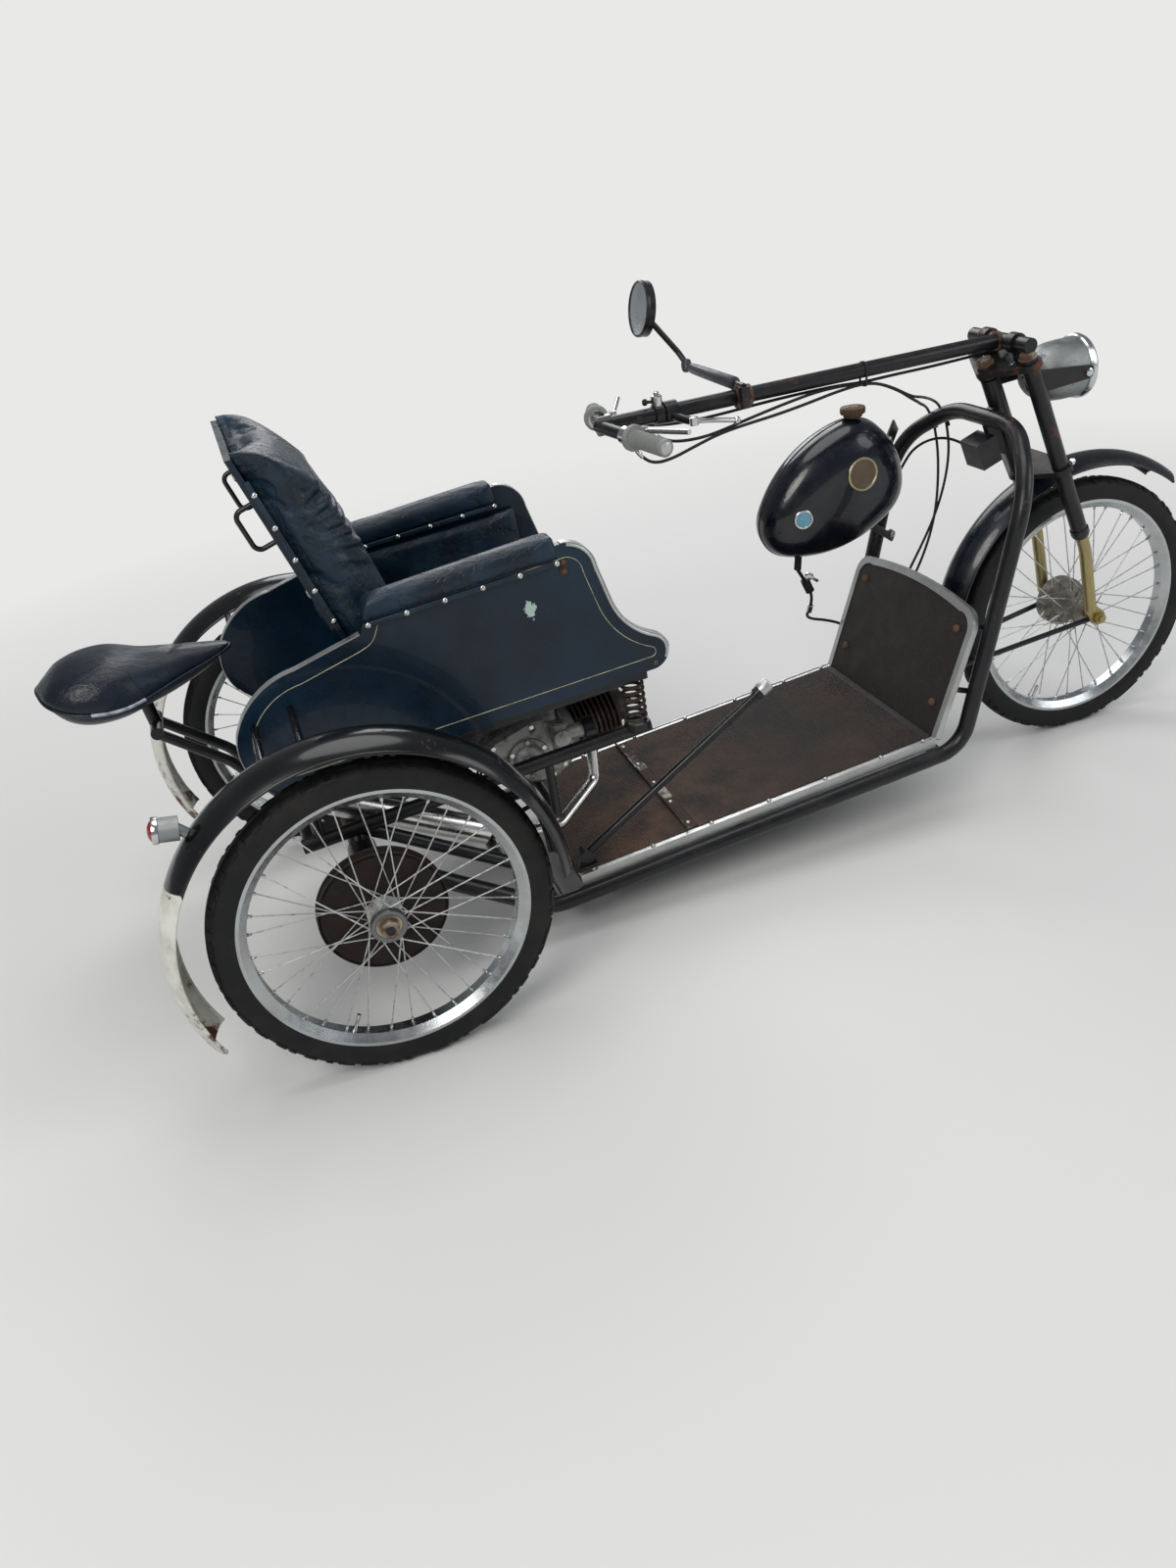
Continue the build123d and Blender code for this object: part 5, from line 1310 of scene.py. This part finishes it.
def tank_outline(angle):
    """The point of the tank's side view whose edge faces a direction."""
    slope = (reach_of(angle + 0.01) - reach_of(angle - 0.01)) / 0.02
    way = Vector((math.cos(angle), math.sin(angle)))
    across = Vector((-math.sin(angle), math.cos(angle)))
    return TANK_CENTRE + way * reach_of(angle) + across * slope


bpy.ops.mesh.primitive_uv_sphere_add(segments=96, ring_count=48, radius=1)
tank = bpy.context.object
outline = {}
for corner in tank.data.vertices:
    around, height = corner.co.xy, corner.co.z
    angle = round(math.atan2(around.y, around.x), 4)
    if angle not in outline:
        outline[angle] = tank_outline(angle) - TANK_CENTRE
    width = around.length ** (2 / 2.7)
    thick = math.copysign(abs(height) ** (2 / 2.5), height)
    side_view = TANK_CENTRE + outline[angle] * width
    corner.co = spot(side_view.x, TANK_SIDE - thick * TANK_HALF, side_view.y)
fit(tank, "rounded_tank", tank_enamel, "carriage", 60)
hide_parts("fuel_tank")
bead_line = [tank_outline(2 * math.pi * step / 90) for step in range(90)]
bead = bent_rod([spot(place.x, TANK_SIDE, place.y) for place in bead_line], 1.9, 2, 3, closed=True)
fit(bead, "tank_weld_bead", tank_enamel, "carriage", 60)


def on_tank(x, z):
    """The place on the tank's right side at x and z, and the way that it faces."""
    aim = spot(x, 0, z)
    facing = [face for face in tank.data.polygons if face.normal.y < -0.2]
    best = min(facing, key=lambda face: (face.center.x - aim.x) ** 2 + (face.center.z - aim.z) ** 2)
    return best.center.copy(), best.normal.copy()


disc_brass = plated("old brass", "b5ac8e", 0.28, 0.5, 0.3)
disc_dark = plated("dull disc face", "6d5e4e", 0.42, 0.5, 0.3)
disc_blue = old_enamel("small disc enamel", "4d8aa3", 0.3, 0.3, second="7fb0bd")
DISCS = [
    # x, z, radius, finish of the rim, finish of the face
    (1226, 693, 36, disc_brass, disc_dark),
    (1082, 624, 21, chrome, disc_blue),
]
for number, (x, z, radius, edge, face) in enumerate(DISCS):
    place, out = on_tank(x, z)
    foot, inner = place - out * 0.0008, radius - 4
    rim = [(-7, radius), (2.4, radius), (3.4, radius - 1.2), (3.4, inner), (2.4, radius - 5)]
    lathe(f"tank_disc_rim_{number}", rim, 64, foot, out, edge, "carriage", capped=False)
    plate = [(-7, inner), (2.2, radius - 4.4), (2.8, inner * 0.6), (3.2, inner * 0.3), (3.3, 1)]
    lathe(f"tank_disc_face_{number}", plate, 64, foot, out, face, "carriage")

# %% Tap and hose under the tank, and the cap's grip
lathe("tank_outlet", [(-1, 9), (3, 13), (8, 14), (22, 15)], 32,
      spot(1116, 150, 525), (0, 0, 1), tank_enamel, "carriage")
tap = turned([(0, 5), (2, 6.5), (8, 6.5), (9, 9), (13, 9), (14, 7.5)], 20)
stand(tap, spot(1114, 141, 478), (0, -1, 0))
lever = strip(spot(1114, 128, 478), spot(1134, 128, 462), (0, -1, 0), 7, 3)
fit(joined([tap, lever]), "tap_lever", chrome, "carriage")
HOSE = [
    (1124, 150, 437), (1128, 151, 420), (1128, 156, 402), (1126, 168, 380), (1134, 196, 356),
    (1164, 230, 330), (1210, 255, 308), (1258, 265, 284), (1284, 266, 256), (1282, 266, 222),
    (1262, 266, 190), (1230, 266, 170), (1186, 266, 163), (1120, 266, 156), (1000, 266, 145),
    (880, 266, 133), (760, 266, 122), (640, 264, 110), (604, 250, 98), (590, 230, 90),
]
wire("fuel_hose", HOSE, 3.4, hose_black, "carriage")
lathe("fuel_hose_joiner", [(0, 5), (1, 6.5), (20, 6.5), (21, 5)], 20,
      spot(1127, 157, 398), (-0.05, 0.4, -0.9), chrome, "carriage")
grip_bumps = []
BUMPS_ON_CAP = 18
for step in range(BUMPS_ON_CAP):
    angle = 2 * math.pi * step / BUMPS_ON_CAP
    way = Vector((math.cos(angle), math.sin(angle), 0))
    low_end, high_end = (spot(1246, 150, z) + way * 0.026 for z in (811, 820))
    grip_bumps.append(strip(low_end, high_end, way, 4.5, 2.4))
fit(joined(grip_bumps), "cap_grip_bumps", cap_rust, "carriage")

# %% Tank mountings
pads = [(spot(x, 194, 640), (0, 1, 0)) for x in (1288, 1318)]
PAD = [(0, 11), (1, 12), (25.4, 12), (26.2, 11)]
bolts(pads, PAD, 24, "tank_rubber_pads", hose_black, "carriage")
strut = strip(spot(1228, 158, 588), spot(1376, 220, 492), (0.2, -1, 0), 17, 5)
fit(strut, "tank_strut", frame_enamel, "carriage")
mount_bolts = [
    (spot(1368, 213, 498), (0.2, -1, 0)),
    (spot(1318, 150, 584), (0.6, -0.5, -0.6)),
    (spot(1346, 178, 726), (0.7, -0.7, 0)),
]
WASHERED_BOLT = [(-9, 6), (-1, 6), (-0.9, 11), (1, 11), (1.2, 8.4), (8, 8.4), (9, 7)]
bolts(mount_bolts, WASHERED_BOLT, 6, "tank_mount_bolts", chrome, "carriage")
lug = strip(spot(1338, 176, 700), spot(1384, 214, 748), (0.5, -0.8, 0), 34, 6)
fit(lug, "tank_lug", frame_enamel, "carriage")
print("Tank pieces are on")

# %% [markdown]
# ## Lamps
#
# The headlight is a hollow pressed bowl with a bright rim.
# Behind its glass are a mirror-like reflector and a small bulb.
# The CAD bowl is solid, so a hollow one is turned to stand for it.
# The tail lamp gets a bezel and a red glass.

# %% Headlight
LAMP = spot(1640, 0, 845)
BOWL = [
    (-80, 3), (-79, 14), (-76, 23), (-70, 33), (-61, 42.5),
    (-49, 50.5), (-35, 56), (-18, 59.5), (6, 61), (40, 61),
]
inside = [(height + 2, radius - 2) for height, radius in reversed(BOWL[1:])]
bowl_wall = BOWL + [(52, 61.5), (52, 59)] + inside
ahead_way = (1, 0, 0)
wall = lathe("headlight_bowl", bowl_wall, 64, LAMP, ahead_way, lamp_silver, "steering",
             capped=False)
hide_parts("headlight_shell")
RIM = [(41, 60.5), (41, 63), (44, 65.5), (52, 66), (56, 64), (57.5, 60), (56, 57.5), (53, 57)]
lathe("headlight_rim", RIM, 72, LAMP, ahead_way, chrome, "steering", capped=False)
reflector = turned([(-6, 6), (0, 22), (14, 38), (32, 50), (50, 57)], 56, capped=False)
stand(reflector, LAMP, ahead_way)
apply_modifier(reflector, "SOLIDIFY", thickness=0.001)
fit(reflector, "headlight_reflector", mirror_silver, "steering")
BULB = [(-4, 6), (6, 6), (8, 8), (16, 9), (24, 6), (27, 2)]
lathe("headlight_bulb", BULB, 24, LAMP, ahead_way, clear_glass, "steering")
ear_bolts = [(LAMP + Vector((0.03, side * 0.0655, 0)), (0, side, 0)) for side in (-1, 1)]
bolts(ear_bolts, HEX_NUT, 6, "headlight_bolts", chrome, "steering")

# %% Tail lamp
back_way = Vector((-34, 0, 6)).normalized()
lamp_end = spot(-278, -REAR_WHEEL_OUT, 566) + Vector((-34, 0, 6)) * MM
lathe("tail_lamp_bezel", [(-7, 20.3), (-6, 22), (1, 22.6), (3.5, 21.5), (3.5, 18), (1, 17)], 40,
      lamp_end, back_way, chrome, "carriage", capped=False)
lathe("tail_lamp_lens", [(0, 18), (2.5, 17.6), (6, 15.5), (9, 11), (10.5, 5), (10.8, 1)], 40,
      lamp_end, back_way, red_glass, "carriage")

# %% [markdown]
# ## Handlebar and tiller
#
# The grips are grey rubber with ribs all round and a flange at the inner end.
# On the tiller sit a lever on a clamp, a small switch and a rusty collar.

# %% Ribbed grips
TILLER_HEIGHT = 930
RIBS_ON_GRIP = 17
for side, side_name in SIDES:
    tip = spot(686, side * 200, 916)
    along = (spot(632, 0, TILLER_HEIGHT) - tip).normalized()
    stations = [(-4, 10), (-3.5, 14), (-1, 16), (5, 16.4)]
    for rib in range(RIBS_ON_GRIP):
        start = 7 + rib * 4.9
        stations += [(start, 16.6), (start + 1.2, 14.7), (start + 2.4, 14.7), (start + 3.6, 16.6)]
    stations += [(91, 16.5), (92, 23.5), (94, 24.6), (101, 24.2), (103, 22), (104, 14)]
    grip = lathe("ribbed_grip_" + side_name, stations, 40,
                 tip, along, grip_grey, "steering", 30)
    if side < 0:
        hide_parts("grips")
    lathe("grip_end_" + side_name, [(-6.5, 6), (-5.5, 11), (-4, 12.5), (-2.5, 12)], 32,
          tip, along, aluminium, "steering")

# %% Tiller lever, switch and collar
def collar(x_start, x_end, radius, name, finish):
    """A sleeve round the tiller, from one place along it to another."""
    length = x_end - x_start
    sleeve = [(0, radius - 2.5), (0.8, radius), (length - 0.8, radius), (length, radius - 2.5)]
    lathe(name, sleeve, 40, spot(x_start, 0, TILLER_HEIGHT), (1, 0, 0), finish, "steering")


collar(762, 789, 21, "lever_clamp", lamp_enamel)
collar(742, 760, 20, "switch_clamp", lamp_enamel)
collar(912, 944, 20.6, "mirror_collar", cap_rust)
collar(1492, 1502, 19, "tiller_end_ring_rear", cap_rust)
PERCH = [(775, -12, 926), (780, -34, 921), (799, -58, 917)]
wire("lever_perch", PERCH, 8, lamp_enamel, "steering", 4)
PIVOT = [(0, 7), (1, 9), (15, 9), (16, 7)]
bolts([(spot(799, -60, 909), (0, 0, 1))], PIVOT, 20, "lever_pivot", chrome, "steering")
blade_line = [(799, -60, 917), (828, -63, 914), (858, -62, 908), (884, -60, 902)]
blade = bent_rod([spot(*place) for place in blade_line], 4.6, 4)
ball = turned([(-7, 2), (-6, 5), (-3, 7.2), (0, 7.8), (3, 7.2), (6, 5), (7, 2)], 24)
stand(ball, spot(886, -60, 901.5), (1, 0, -0.2))
fit(joined([blade, ball]), "tiller_lever", chrome, "steering", 60)
lathe("dip_switch", [(0, 9), (1, 11), (17, 11), (19, 9.5), (20, 6), (25, 5.4), (27, 3)], 32,
      spot(751, 0, 946), (0, 0, 1), chrome, "steering")
lathe("switch_knob", [(0, 3), (10, 3), (12, 6), (16, 6.6), (19, 5), (20, 2)], 24,
      spot(742, 0, 955), (-1, 0, 0.1), hose_black, "steering")
print("Tiller pieces are on")

# %% [markdown]
# ## Steering head and fork
#
# Acorn nuts close the tops of the fork legs and the steering stem, and pinch bolts clamp the lower yoke.
# A seal collar sits where each bright slider leaves its leg.

# %% Nuts, bolts and seals on the fork
RAKE = math.radians(20.4)
HEAD_HEIGHT = 892
LEG_OUT = 85
LEG_AHEAD = 43
LEG_LOW_END = 508
head_down = Vector((math.sin(RAKE), 0, -math.cos(RAKE)))
head_forward = Vector((math.cos(RAKE), 0, math.sin(RAKE)))


def on_stem(below, forward=0.0, left=0.0):
    """A place measured down the steering axis, forward of it and to the left, in millimetres."""
    aside = Vector((0, left * MM, 0))
    return spot(1469, 0, HEAD_HEIGHT) + (head_down * below + head_forward * forward) * MM + aside


ACORN = [(0, 17), (1, 18.5), (4, 18.5), (4.5, 13.5), (5, 14.8), (12, 14.8), (15, 12), (17.5, 7), (18.2, 2)]
STEM_NUT = [(0, 18), (1, 20), (3, 20), (3.5, 14), (4, 16), (13, 16), (14, 14)]
PINCH_BOLT = [(0, 7), (0.6, 8), (6, 8), (6.6, 7), (6.8, 5), (11, 5), (11.5, 4)]
SEAL = [(0, 17), (1, 19.6), (12, 19.8), (18, 18), (22, 15.5), (23, 14)]
leg_end = (HEAD_HEIGHT + LEG_AHEAD * math.sin(RAKE) - LEG_LOW_END) / math.cos(RAKE)
leg_tops = [(on_stem(4, LEG_AHEAD, side * LEG_OUT), -head_down) for side in (-1, 1)]
seals = [(on_stem(leg_end - 14, LEG_AHEAD, side * LEG_OUT), head_down) for side in (-1, 1)]
bolts(leg_tops, ACORN, 24, "leg_caps", cap_rust, "steering")
bolts([(on_stem(5), -head_down)], STEM_NUT, 6, "stem_nut", cap_rust, "steering")
pinch = [(on_stem(262, 66, side * LEG_OUT), head_forward) for side in (-1, 1)]
pinch += [(on_stem(18, 66, side * LEG_OUT), head_forward) for side in (-1, 1)]
pinch += [(on_stem(18, 30, side * 46), -head_down) for side in (-1, 1)]
bolts(pinch, PINCH_BOLT, 6, "yoke_bolts", chrome, "steering")
bolts(seals, SEAL, 36, "fork_seals", lamp_enamel, "steering")
print("Leg ends", round(leg_end), "mm down the steering axis")

# %% [markdown]
# ## Control cables across the steering
#
# Two cables leave the tiller and run down to the engine. The rest lies still along the frame, up to the
# engine.

# %% The route of each cable
RAIL_MIDDLE = 86.7
UNDER_RAIL = 16.6
WANDER = [
    # x, to the left, down
    (1140, 0, 2), (1052, 3, 1), (964, -2, 3), (876, 4, 1), (788, 1, 0),
    (700, -3, 0), (612, 2, 2), (524, 4, 3), (436, 0, 1),
]


def under_floor(shift_all, start_ahead, ease):
    """The part of the route under the floor, inside the left rail. The cable wanders a little."""
    line = []
    for x, shift, sag in WANDER:
        x += start_ahead
        height = RAIL_MIDDLE + FLOOR_SLOPE * (x - 400) - UNDER_RAIL - sag * ease
        line.append((x, 196 + shift_all + shift * ease, height))
    return line


ROUTES = {
    # Each cable has the stretch that bends with the steering, and the stretch that lies still.
    "throttle": (
        [(1270, -12, 872), (1300, 2, 852), (1330, 30, 836), (1364, 74, 818),
         (1400, 122, 801), (1430, 162, 786), (1453, 188, 770), (1468, 191, 742)],
        [(1468, 191, 742), (1474, 188, 706), (1474, 181, 662), (1468, 172, 612), (1456, 160, 560),
         (1436, 148, 508), (1408, 140, 452), (1374, 137, 396), (1338, 140, 338), (1302, 150, 280),
         (1268, 164, 226), (1240, 176, 174), (1218, 186, 138)]
        + under_floor(0, 0, 1)
        + [(374, 186, 61), (328, 172, 62), (299, 158, 94), (288, 148, 156), (292, 134, 210), (302, 116, 264),
           (316, 100, 318), (334, 88, 370), (358, 76, 416), (386, 56, 450), (408, 20, 468), (422, -22, 474),
           (430, -64, 472), (432, -98, 462), (430, -121, 445), (430, -128, 419.6)],
    ),
    "clutch": (
        [(1278, 4, 870), (1310, 22, 852), (1342, 52, 840), (1380, 92, 826),
         (1418, 132, 810), (1448, 162, 796), (1476, 180, 778), (1494, 184, 746)],
        [(1494, 184, 746), (1502, 184, 706), (1502, 182, 662), (1494, 180, 616), (1476, 174, 568),
         (1450, 168, 518), (1416, 163, 466), (1380, 162, 410), (1344, 166, 352), (1308, 174, 294),
         (1274, 186, 238), (1251, 198, 186), (1232, 206, 146)]
        + under_floor(14, 14, 0.5)
        + [(388, 200, 62), (338, 186, 61), (307, 176, 88), (298, 166, 142), (300, 150, 190), (306, 130, 238),
           (318, 108, 282), (340, 88, 318), (368, 72, 340), (398, 58, 350), (420, 38, 354), (431, 24.4, 354)],
    ),
}
for name, (moving, still) in ROUTES.items():
    near = wire(name + "_cable_front", moving, 3, cable_black, None)
    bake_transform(near)
    far = wire(name + "_cable_rear", still, 3, cable_black, "carriage")
    meeting = spot(*moving[-1])
    sleeve_line = [meeting + Vector((0, 0, 0.012)), meeting, spot(*still[1]) + Vector((0, 0, 0.02))]
    sleeve = bent_rod(sleeve_line, 4.6, 3)
    fit(sleeve, name + "_cable_sleeve", hose_black, "carriage", 60)
LOOM = [
    (1461, 32.5, 708), (1462, 58, 714), (1459, 92, 719), (1452, 127, 719), (1442, 160, 711),
    (1431, 187, 697), (1420, 207, 678), (1411, 219, 655), (1402.6, 229, 631),
]
wire("coil_loom", LOOM, 3, cable_black, "carriage")
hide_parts("frame_cables")
print("Cables are on")

# %% [markdown]
# ## Cables under the tiller
#
# Three control cables hang under the tiller from its levers, held by a few ties.
# They are smooth curves through the same points as the solids have, and they turn with the tiller.

# %% Tiller cables and their ferrules
TILLER_REAR = 655
FERRULE = [(-2, 3.2), (0, 4.6), (9, 4.6), (9.5, 3.9), (15, 3.9), (17, 3)]
TILLER_ROUTES = [
    # ahead of the tiller's rear end, y, z
    [(10, -105, 897.6), (21, -104, 880), (45, -100, 866), (81, -93, 866), (125, -82, 874),
     (187, -67, 885), (251, -52, 888), (325, -36, 889), (401, -24, 895), (469, -13, 902),
     (535, -6.5, 905.6), (581, -8, 894), (615, -12, 872)],
    [(51, -84, 916.5), (77, -78, 897), (117, -66, 886), (171, -53, 882), (227, -40, 887),
     (291, -28, 895), (359, -18, 903), (427, -8, 909), (485, -1, 908), (535, 0, 905),
     (587, 1, 892), (623, 4, 870)],
    [(49, 84, 917), (79, 74, 900), (127, 56, 893), (185, 38, 894), (249, 24, 899),
     (311, 13, 905), (375, 8, 908), (441, 6, 909), (491, 6.5, 908), (535, 6.6, 904.6),
     (610, 9, 905.4), (700, 14, 904.2), (790, 19, 905.6), (866, 16, 908), (891, 17, 914),
     (917.2, 19.4, 900.3), (934.5, 12.2, 879.8)],
]
for number, route in enumerate(TILLER_ROUTES):
    route = [(TILLER_REAR + x, y, z) for x, y, z in route]
    sheath = wire(f"tiller_cable_{number}", route, 3, cable_black, "steering")
    if number == 0:
        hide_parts("tiller_cables")
    start, second = spot(*route[0]), spot(*route[1])
    lathe(f"cable_ferrule_{number}", FERRULE, 20, start, second - start, chrome, "steering")

# %% [markdown]
# ## Engine details
#
# The engine is a small two-stroke under the seat. Its case is cast alloy, closed by rows of small bolts.
# On the side that faces out there is a round cover with a bright knob, and beside it stands the carburettor.

# %% Cover, bolts and spark plug
case_face = spot(365, -102, 342)
COVER = [(-1, 44), (3, 44), (5, 42.5), (5, 33), (8, 31), (13, 27), (16, 20), (17, 13)]
lathe("engine_side_cover", COVER, 64, case_face, (0, -1, 0), engine_alloy, "carriage")
lathe("engine_bright_knob", [(15, 9), (18, 9), (19, 14), (21, 15.5), (28, 15.5), (31, 13), (32, 8)], 40,
      case_face, (0, -1, 0), chrome, "carriage")
BOLT_RINGS = [
    # x, y, z, radius, angles
    (365, -106, 342, 38.5, (30, 90, 150, 210, 270, 330)),
    (395, -101.5, 352, 59, (-75, -45, -15, 75, 105)),
    (317, -101.5, 356, 34, (125, 165, 205, 245)),
]
cover_bolts = []
for x, y, z, radius, angles in BOLT_RINGS:
    for angle in angles:
        turn = math.radians(angle)
        cover_bolts.append((spot(x + radius * math.cos(turn), y, z + radius * math.sin(turn)), (0, -1, 0)))
CASE_BOLT = [(0, 5), (0.6, 5.6), (4.4, 5.6), (5, 5)]
DRAIN = [(0, 13), (2, 13), (2.2, 9), (8, 9), (8.6, 8)]
bolts(cover_bolts, CASE_BOLT, 6, "engine_bolts", chrome, "carriage")
bolts([(spot(418, -40, 281.5), (0, 0, -1))], DRAIN, 6, "drain_plug", cap_rust, "carriage")
CYLINDER_RISE = math.radians(8)
plug_way = Vector((math.cos(CYLINDER_RISE), 0, math.sin(CYLINDER_RISE)))
plug_place = spot(395, -40, 352) + plug_way * 0.2
HEXAGON = [(-1, 11), (0, 12), (9, 12), (10, 11)]
bolts([(plug_place, plug_way)], HEXAGON, 6, "spark_plug_hexagon", cap_rust, "carriage")
INSULATOR = [(8, 9), (11, 9), (12, 7.2), (20, 6.2), (22, 6.6), (24, 6), (31, 5), (31.5, 3), (37, 3)]
lathe("spark_plug_porcelain", INSULATOR, 24, plug_place, plug_way, porcelain, "carriage")

# %% Carburettor fittings
top_ring = turned([(-14, 14.4), (-13, 16.6), (-3, 16.6), (-2, 14.4)], 18)
stand(top_ring, spot(430, -128, 418), (0, 0, 1))
bowl = turned([(-12, 13), (-11, 18), (-2, 19), (8, 19), (14, 16), (16, 14)], 40)
stand(bowl, spot(430, -128, 368), (0, 0, 1))
fit(joined([top_ring, bowl]), "carburettor_bowl", engine_alloy, "carriage", 30)
lathe("air_filter", [(-3, 15.5), (-2, 20), (0, 23), (20, 23), (22, 21), (22.5, 16), (21, 6)], 48,
      spot(478, -128, 388), (1, 0, 0), lamp_enamel, "carriage")

# %% [markdown]
# ## Screws, bolts and plates
#
# Round-headed screws hold the bright trim of the floor, and large bolts hold the boards.
# A small latch plate sits on the right panel.

# %% Floor and board fixings
STRIP_X = 650.6
BOARD_X = 1204.7
floor_up = Vector((-FLOOR_SLOPE, 0, 1)).normalized()
floor_screws = []
for side in (-1, 1):
    for x in (430, 560, 690, 820, 950, 1080, 1180):
        floor_screws.append((spot(x, side * 228, floor_top(x) - 0.4), floor_up))
for y in (-196, -98, 0, 98, 196):
    floor_screws.append((spot(STRIP_X, y, floor_top(STRIP_X) + 0.6), floor_up))
bolts(floor_screws, ROUND_HEAD, 16, "floor_screws", aluminium, "carriage")
board_foot = spot(BOARD_X, 0, floor_top(BOARD_X))
board_up = Vector((0.358, 0, 0.934))
board_back = Vector((-0.934, 0, 0.358))
board_bolts = []
for side in (-1, 1):
    for up in (62, 226):
        hole = board_foot + board_up * up * MM + Vector((0, side * 0.186, 0))
        board_bolts.append((hole + board_back * 0.0015, board_back))
BOARD_BOLT = [(-3, 8.5), (0.5, 8.5), (2.2, 7.4), (3.6, 5), (4.2, 2)]
bolts(board_bolts, BOARD_BOLT, 24, "board_bolts", cap_rust, "carriage")
back_bolts = []
board_behind = Vector((-0.953, 0, -0.304))
for side in (-1, 1):
    for z in (650, 790, 1010):
        back_bolts.append((spot(board_line(z), side * 150, z) + board_behind * 0.0001, board_behind))
BACK_BOLT = [(-1, 9.5), (0.5, 9.5), (2.4, 8), (3.8, 5), (4.2, 2)]
bolts(back_bolts, BACK_BOLT, 24, "backrest_bolts", chrome, "carriage")

# %% Bright cap on the long hand lever
lever_way = Vector((30, 0, 19)).normalized()
lathe("lever_cap", [(-6, 11), (-5, 14.2), (-1, 14.8), (16, 14.8), (19, 13), (20, 9)], 32,
      spot(834, -200, 405), lever_way, aluminium, "carriage")

# %% Latch plate and panel screws
latch = strip(spot(458, -241, 748), spot(458, -241, 775), (0, -1, 0), 17, 2.4)
fit(latch, "latch_plate", worn_steel, "carriage")
panel_screws = [(spot(458, -242, z), (0, -1, 0)) for z in (753, 770)]
panel_screws += [(spot(607, side * 240, 538), (0, side, 0)) for side in (-1, 1)]
panel_screws += [(spot(-120, side * 240, 500), (0, side, 0)) for side in (-1, 1)]
bolts(panel_screws, ROUND_HEAD, 16, "panel_screws", cap_rust, "carriage")

# %% Mirror edge and the joints of its arm
mirror_place = spot(830.7, 268, 1083.25)
mirror_way = Vector((-0.983, 0, 0.184))
lathe("mirror_edge", [(-6, 54.2), (-4, 55.2), (1, 55.2), (3, 53.6), (2.6, 50.6), (1.2, 49.6)], 72,
      mirror_place, mirror_way, lamp_enamel, "steering", capped=False)
lathe("mirror_joint", [(-9, 5), (-7, 8), (-3, 10), (2, 10), (6, 8), (8, 5)], 24,
      mirror_place - mirror_way * 0.018, mirror_way, lamp_enamel, "steering")
lathe("mirror_arm_sleeve", [(0, 7), (1.5, 11), (4, 12.5), (150, 11.5), (210, 10.5), (222, 9), (226, 6)], 32,
      spot(917, 6, 955), (0, 1, 0), worn_grey, "steering")
lathe("mirror_elbow", [(-13, 5), (-11, 9), (-4, 11), (4, 11), (11, 9), (13, 5)], 24,
      spot(914, 244, 958), (0.2, 0.5, 1), worn_grey, "steering")
print("Fittings are on")

# %% [markdown]
# ## Floor and light
#
# The carriage stands on a pale floor that fades into a background of the same tone, so no horizon shows.
# A dark, glossy thing is seen mostly by what it mirrors, so wide soft lamps stand on all sides.

# %% Pale floor
bpy.ops.mesh.primitive_circle_add(vertices=96, radius=30, fill_type="NGON", location=(0, 0, 0))
floor = bpy.context.object
floor.name = "studio_floor"
ground = Finish("studio floor", "dcdcda", 0.9)
pale = ground.node("Emission", {"Color": tint("e9e9e8"), "Strength": 1.0})
far_off = ground.between(ground.length(ground.place), 1.5, 3.6)
fade = ground.node("MixShader", {0: far_off, 1: ground.shader.outputs[0], 2: pale})
ground.join(fade, ground.tree.nodes["Material Output"].inputs["Surface"])
floor.data.materials.append(ground.material)

# %% Soft lamps and the world
LAMPS = [
    # name, place, size, watts, tone
    ("key", (-2.6, -3.2, 3.6), 2.6, 118, (1.0, 0.98, 0.95)),
    ("fill", (3.8, -2.4, 2.6), 3.0, 54, (0.95, 0.98, 1.0)),
    ("back", (0.6, 4.2, 3.4), 3.2, 86, (1.0, 1.0, 1.0)),
    ("top", (0.0, 0.0, 4.6), 3.4, 72, (1.0, 1.0, 1.0)),
]
for lamp_name, place, size, watts, tone in LAMPS:
    bpy.ops.object.light_add(type="AREA", location=place)
    lamp = bpy.context.object
    lamp.name = lamp_name
    lamp.data.shape = "DISK"
    lamp.data.size = size
    lamp.data.energy = watts
    lamp.data.color = tone
    lamp.rotation_euler = (Vector((0, 0, 0.4)) - Vector(place)).to_track_quat("-Z", "Y").to_euler()

world = bpy.data.worlds.new("pale studio")
bpy.context.scene.world = world
world.use_nodes = True
sky = world.node_tree
seen = sky.nodes["Background"]
seen.inputs["Color"].default_value = tint("e9e9e8")
lit = sky.nodes.new("ShaderNodeBackground")
lit.inputs["Color"].default_value = tint("dfe3e8")
lit.inputs["Strength"].default_value = 0.3
path = sky.nodes.new("ShaderNodeLightPath")
either = sky.nodes.new("ShaderNodeMath")
either.operation = "MAXIMUM"
sky.links.new(path.outputs["Is Camera Ray"], either.inputs[0])
sky.links.new(path.outputs["Is Transmission Ray"], either.inputs[1])
choice = sky.nodes.new("ShaderNodeMixShader")
sky.links.new(either.outputs[0], choice.inputs[0])
sky.links.new(lit.outputs[0], choice.inputs[1])
sky.links.new(seen.outputs[0], choice.inputs[2])
sky.links.new(choice.outputs[0], sky.nodes["World Output"].inputs["Surface"])
print("Lamps:", len(LAMPS))
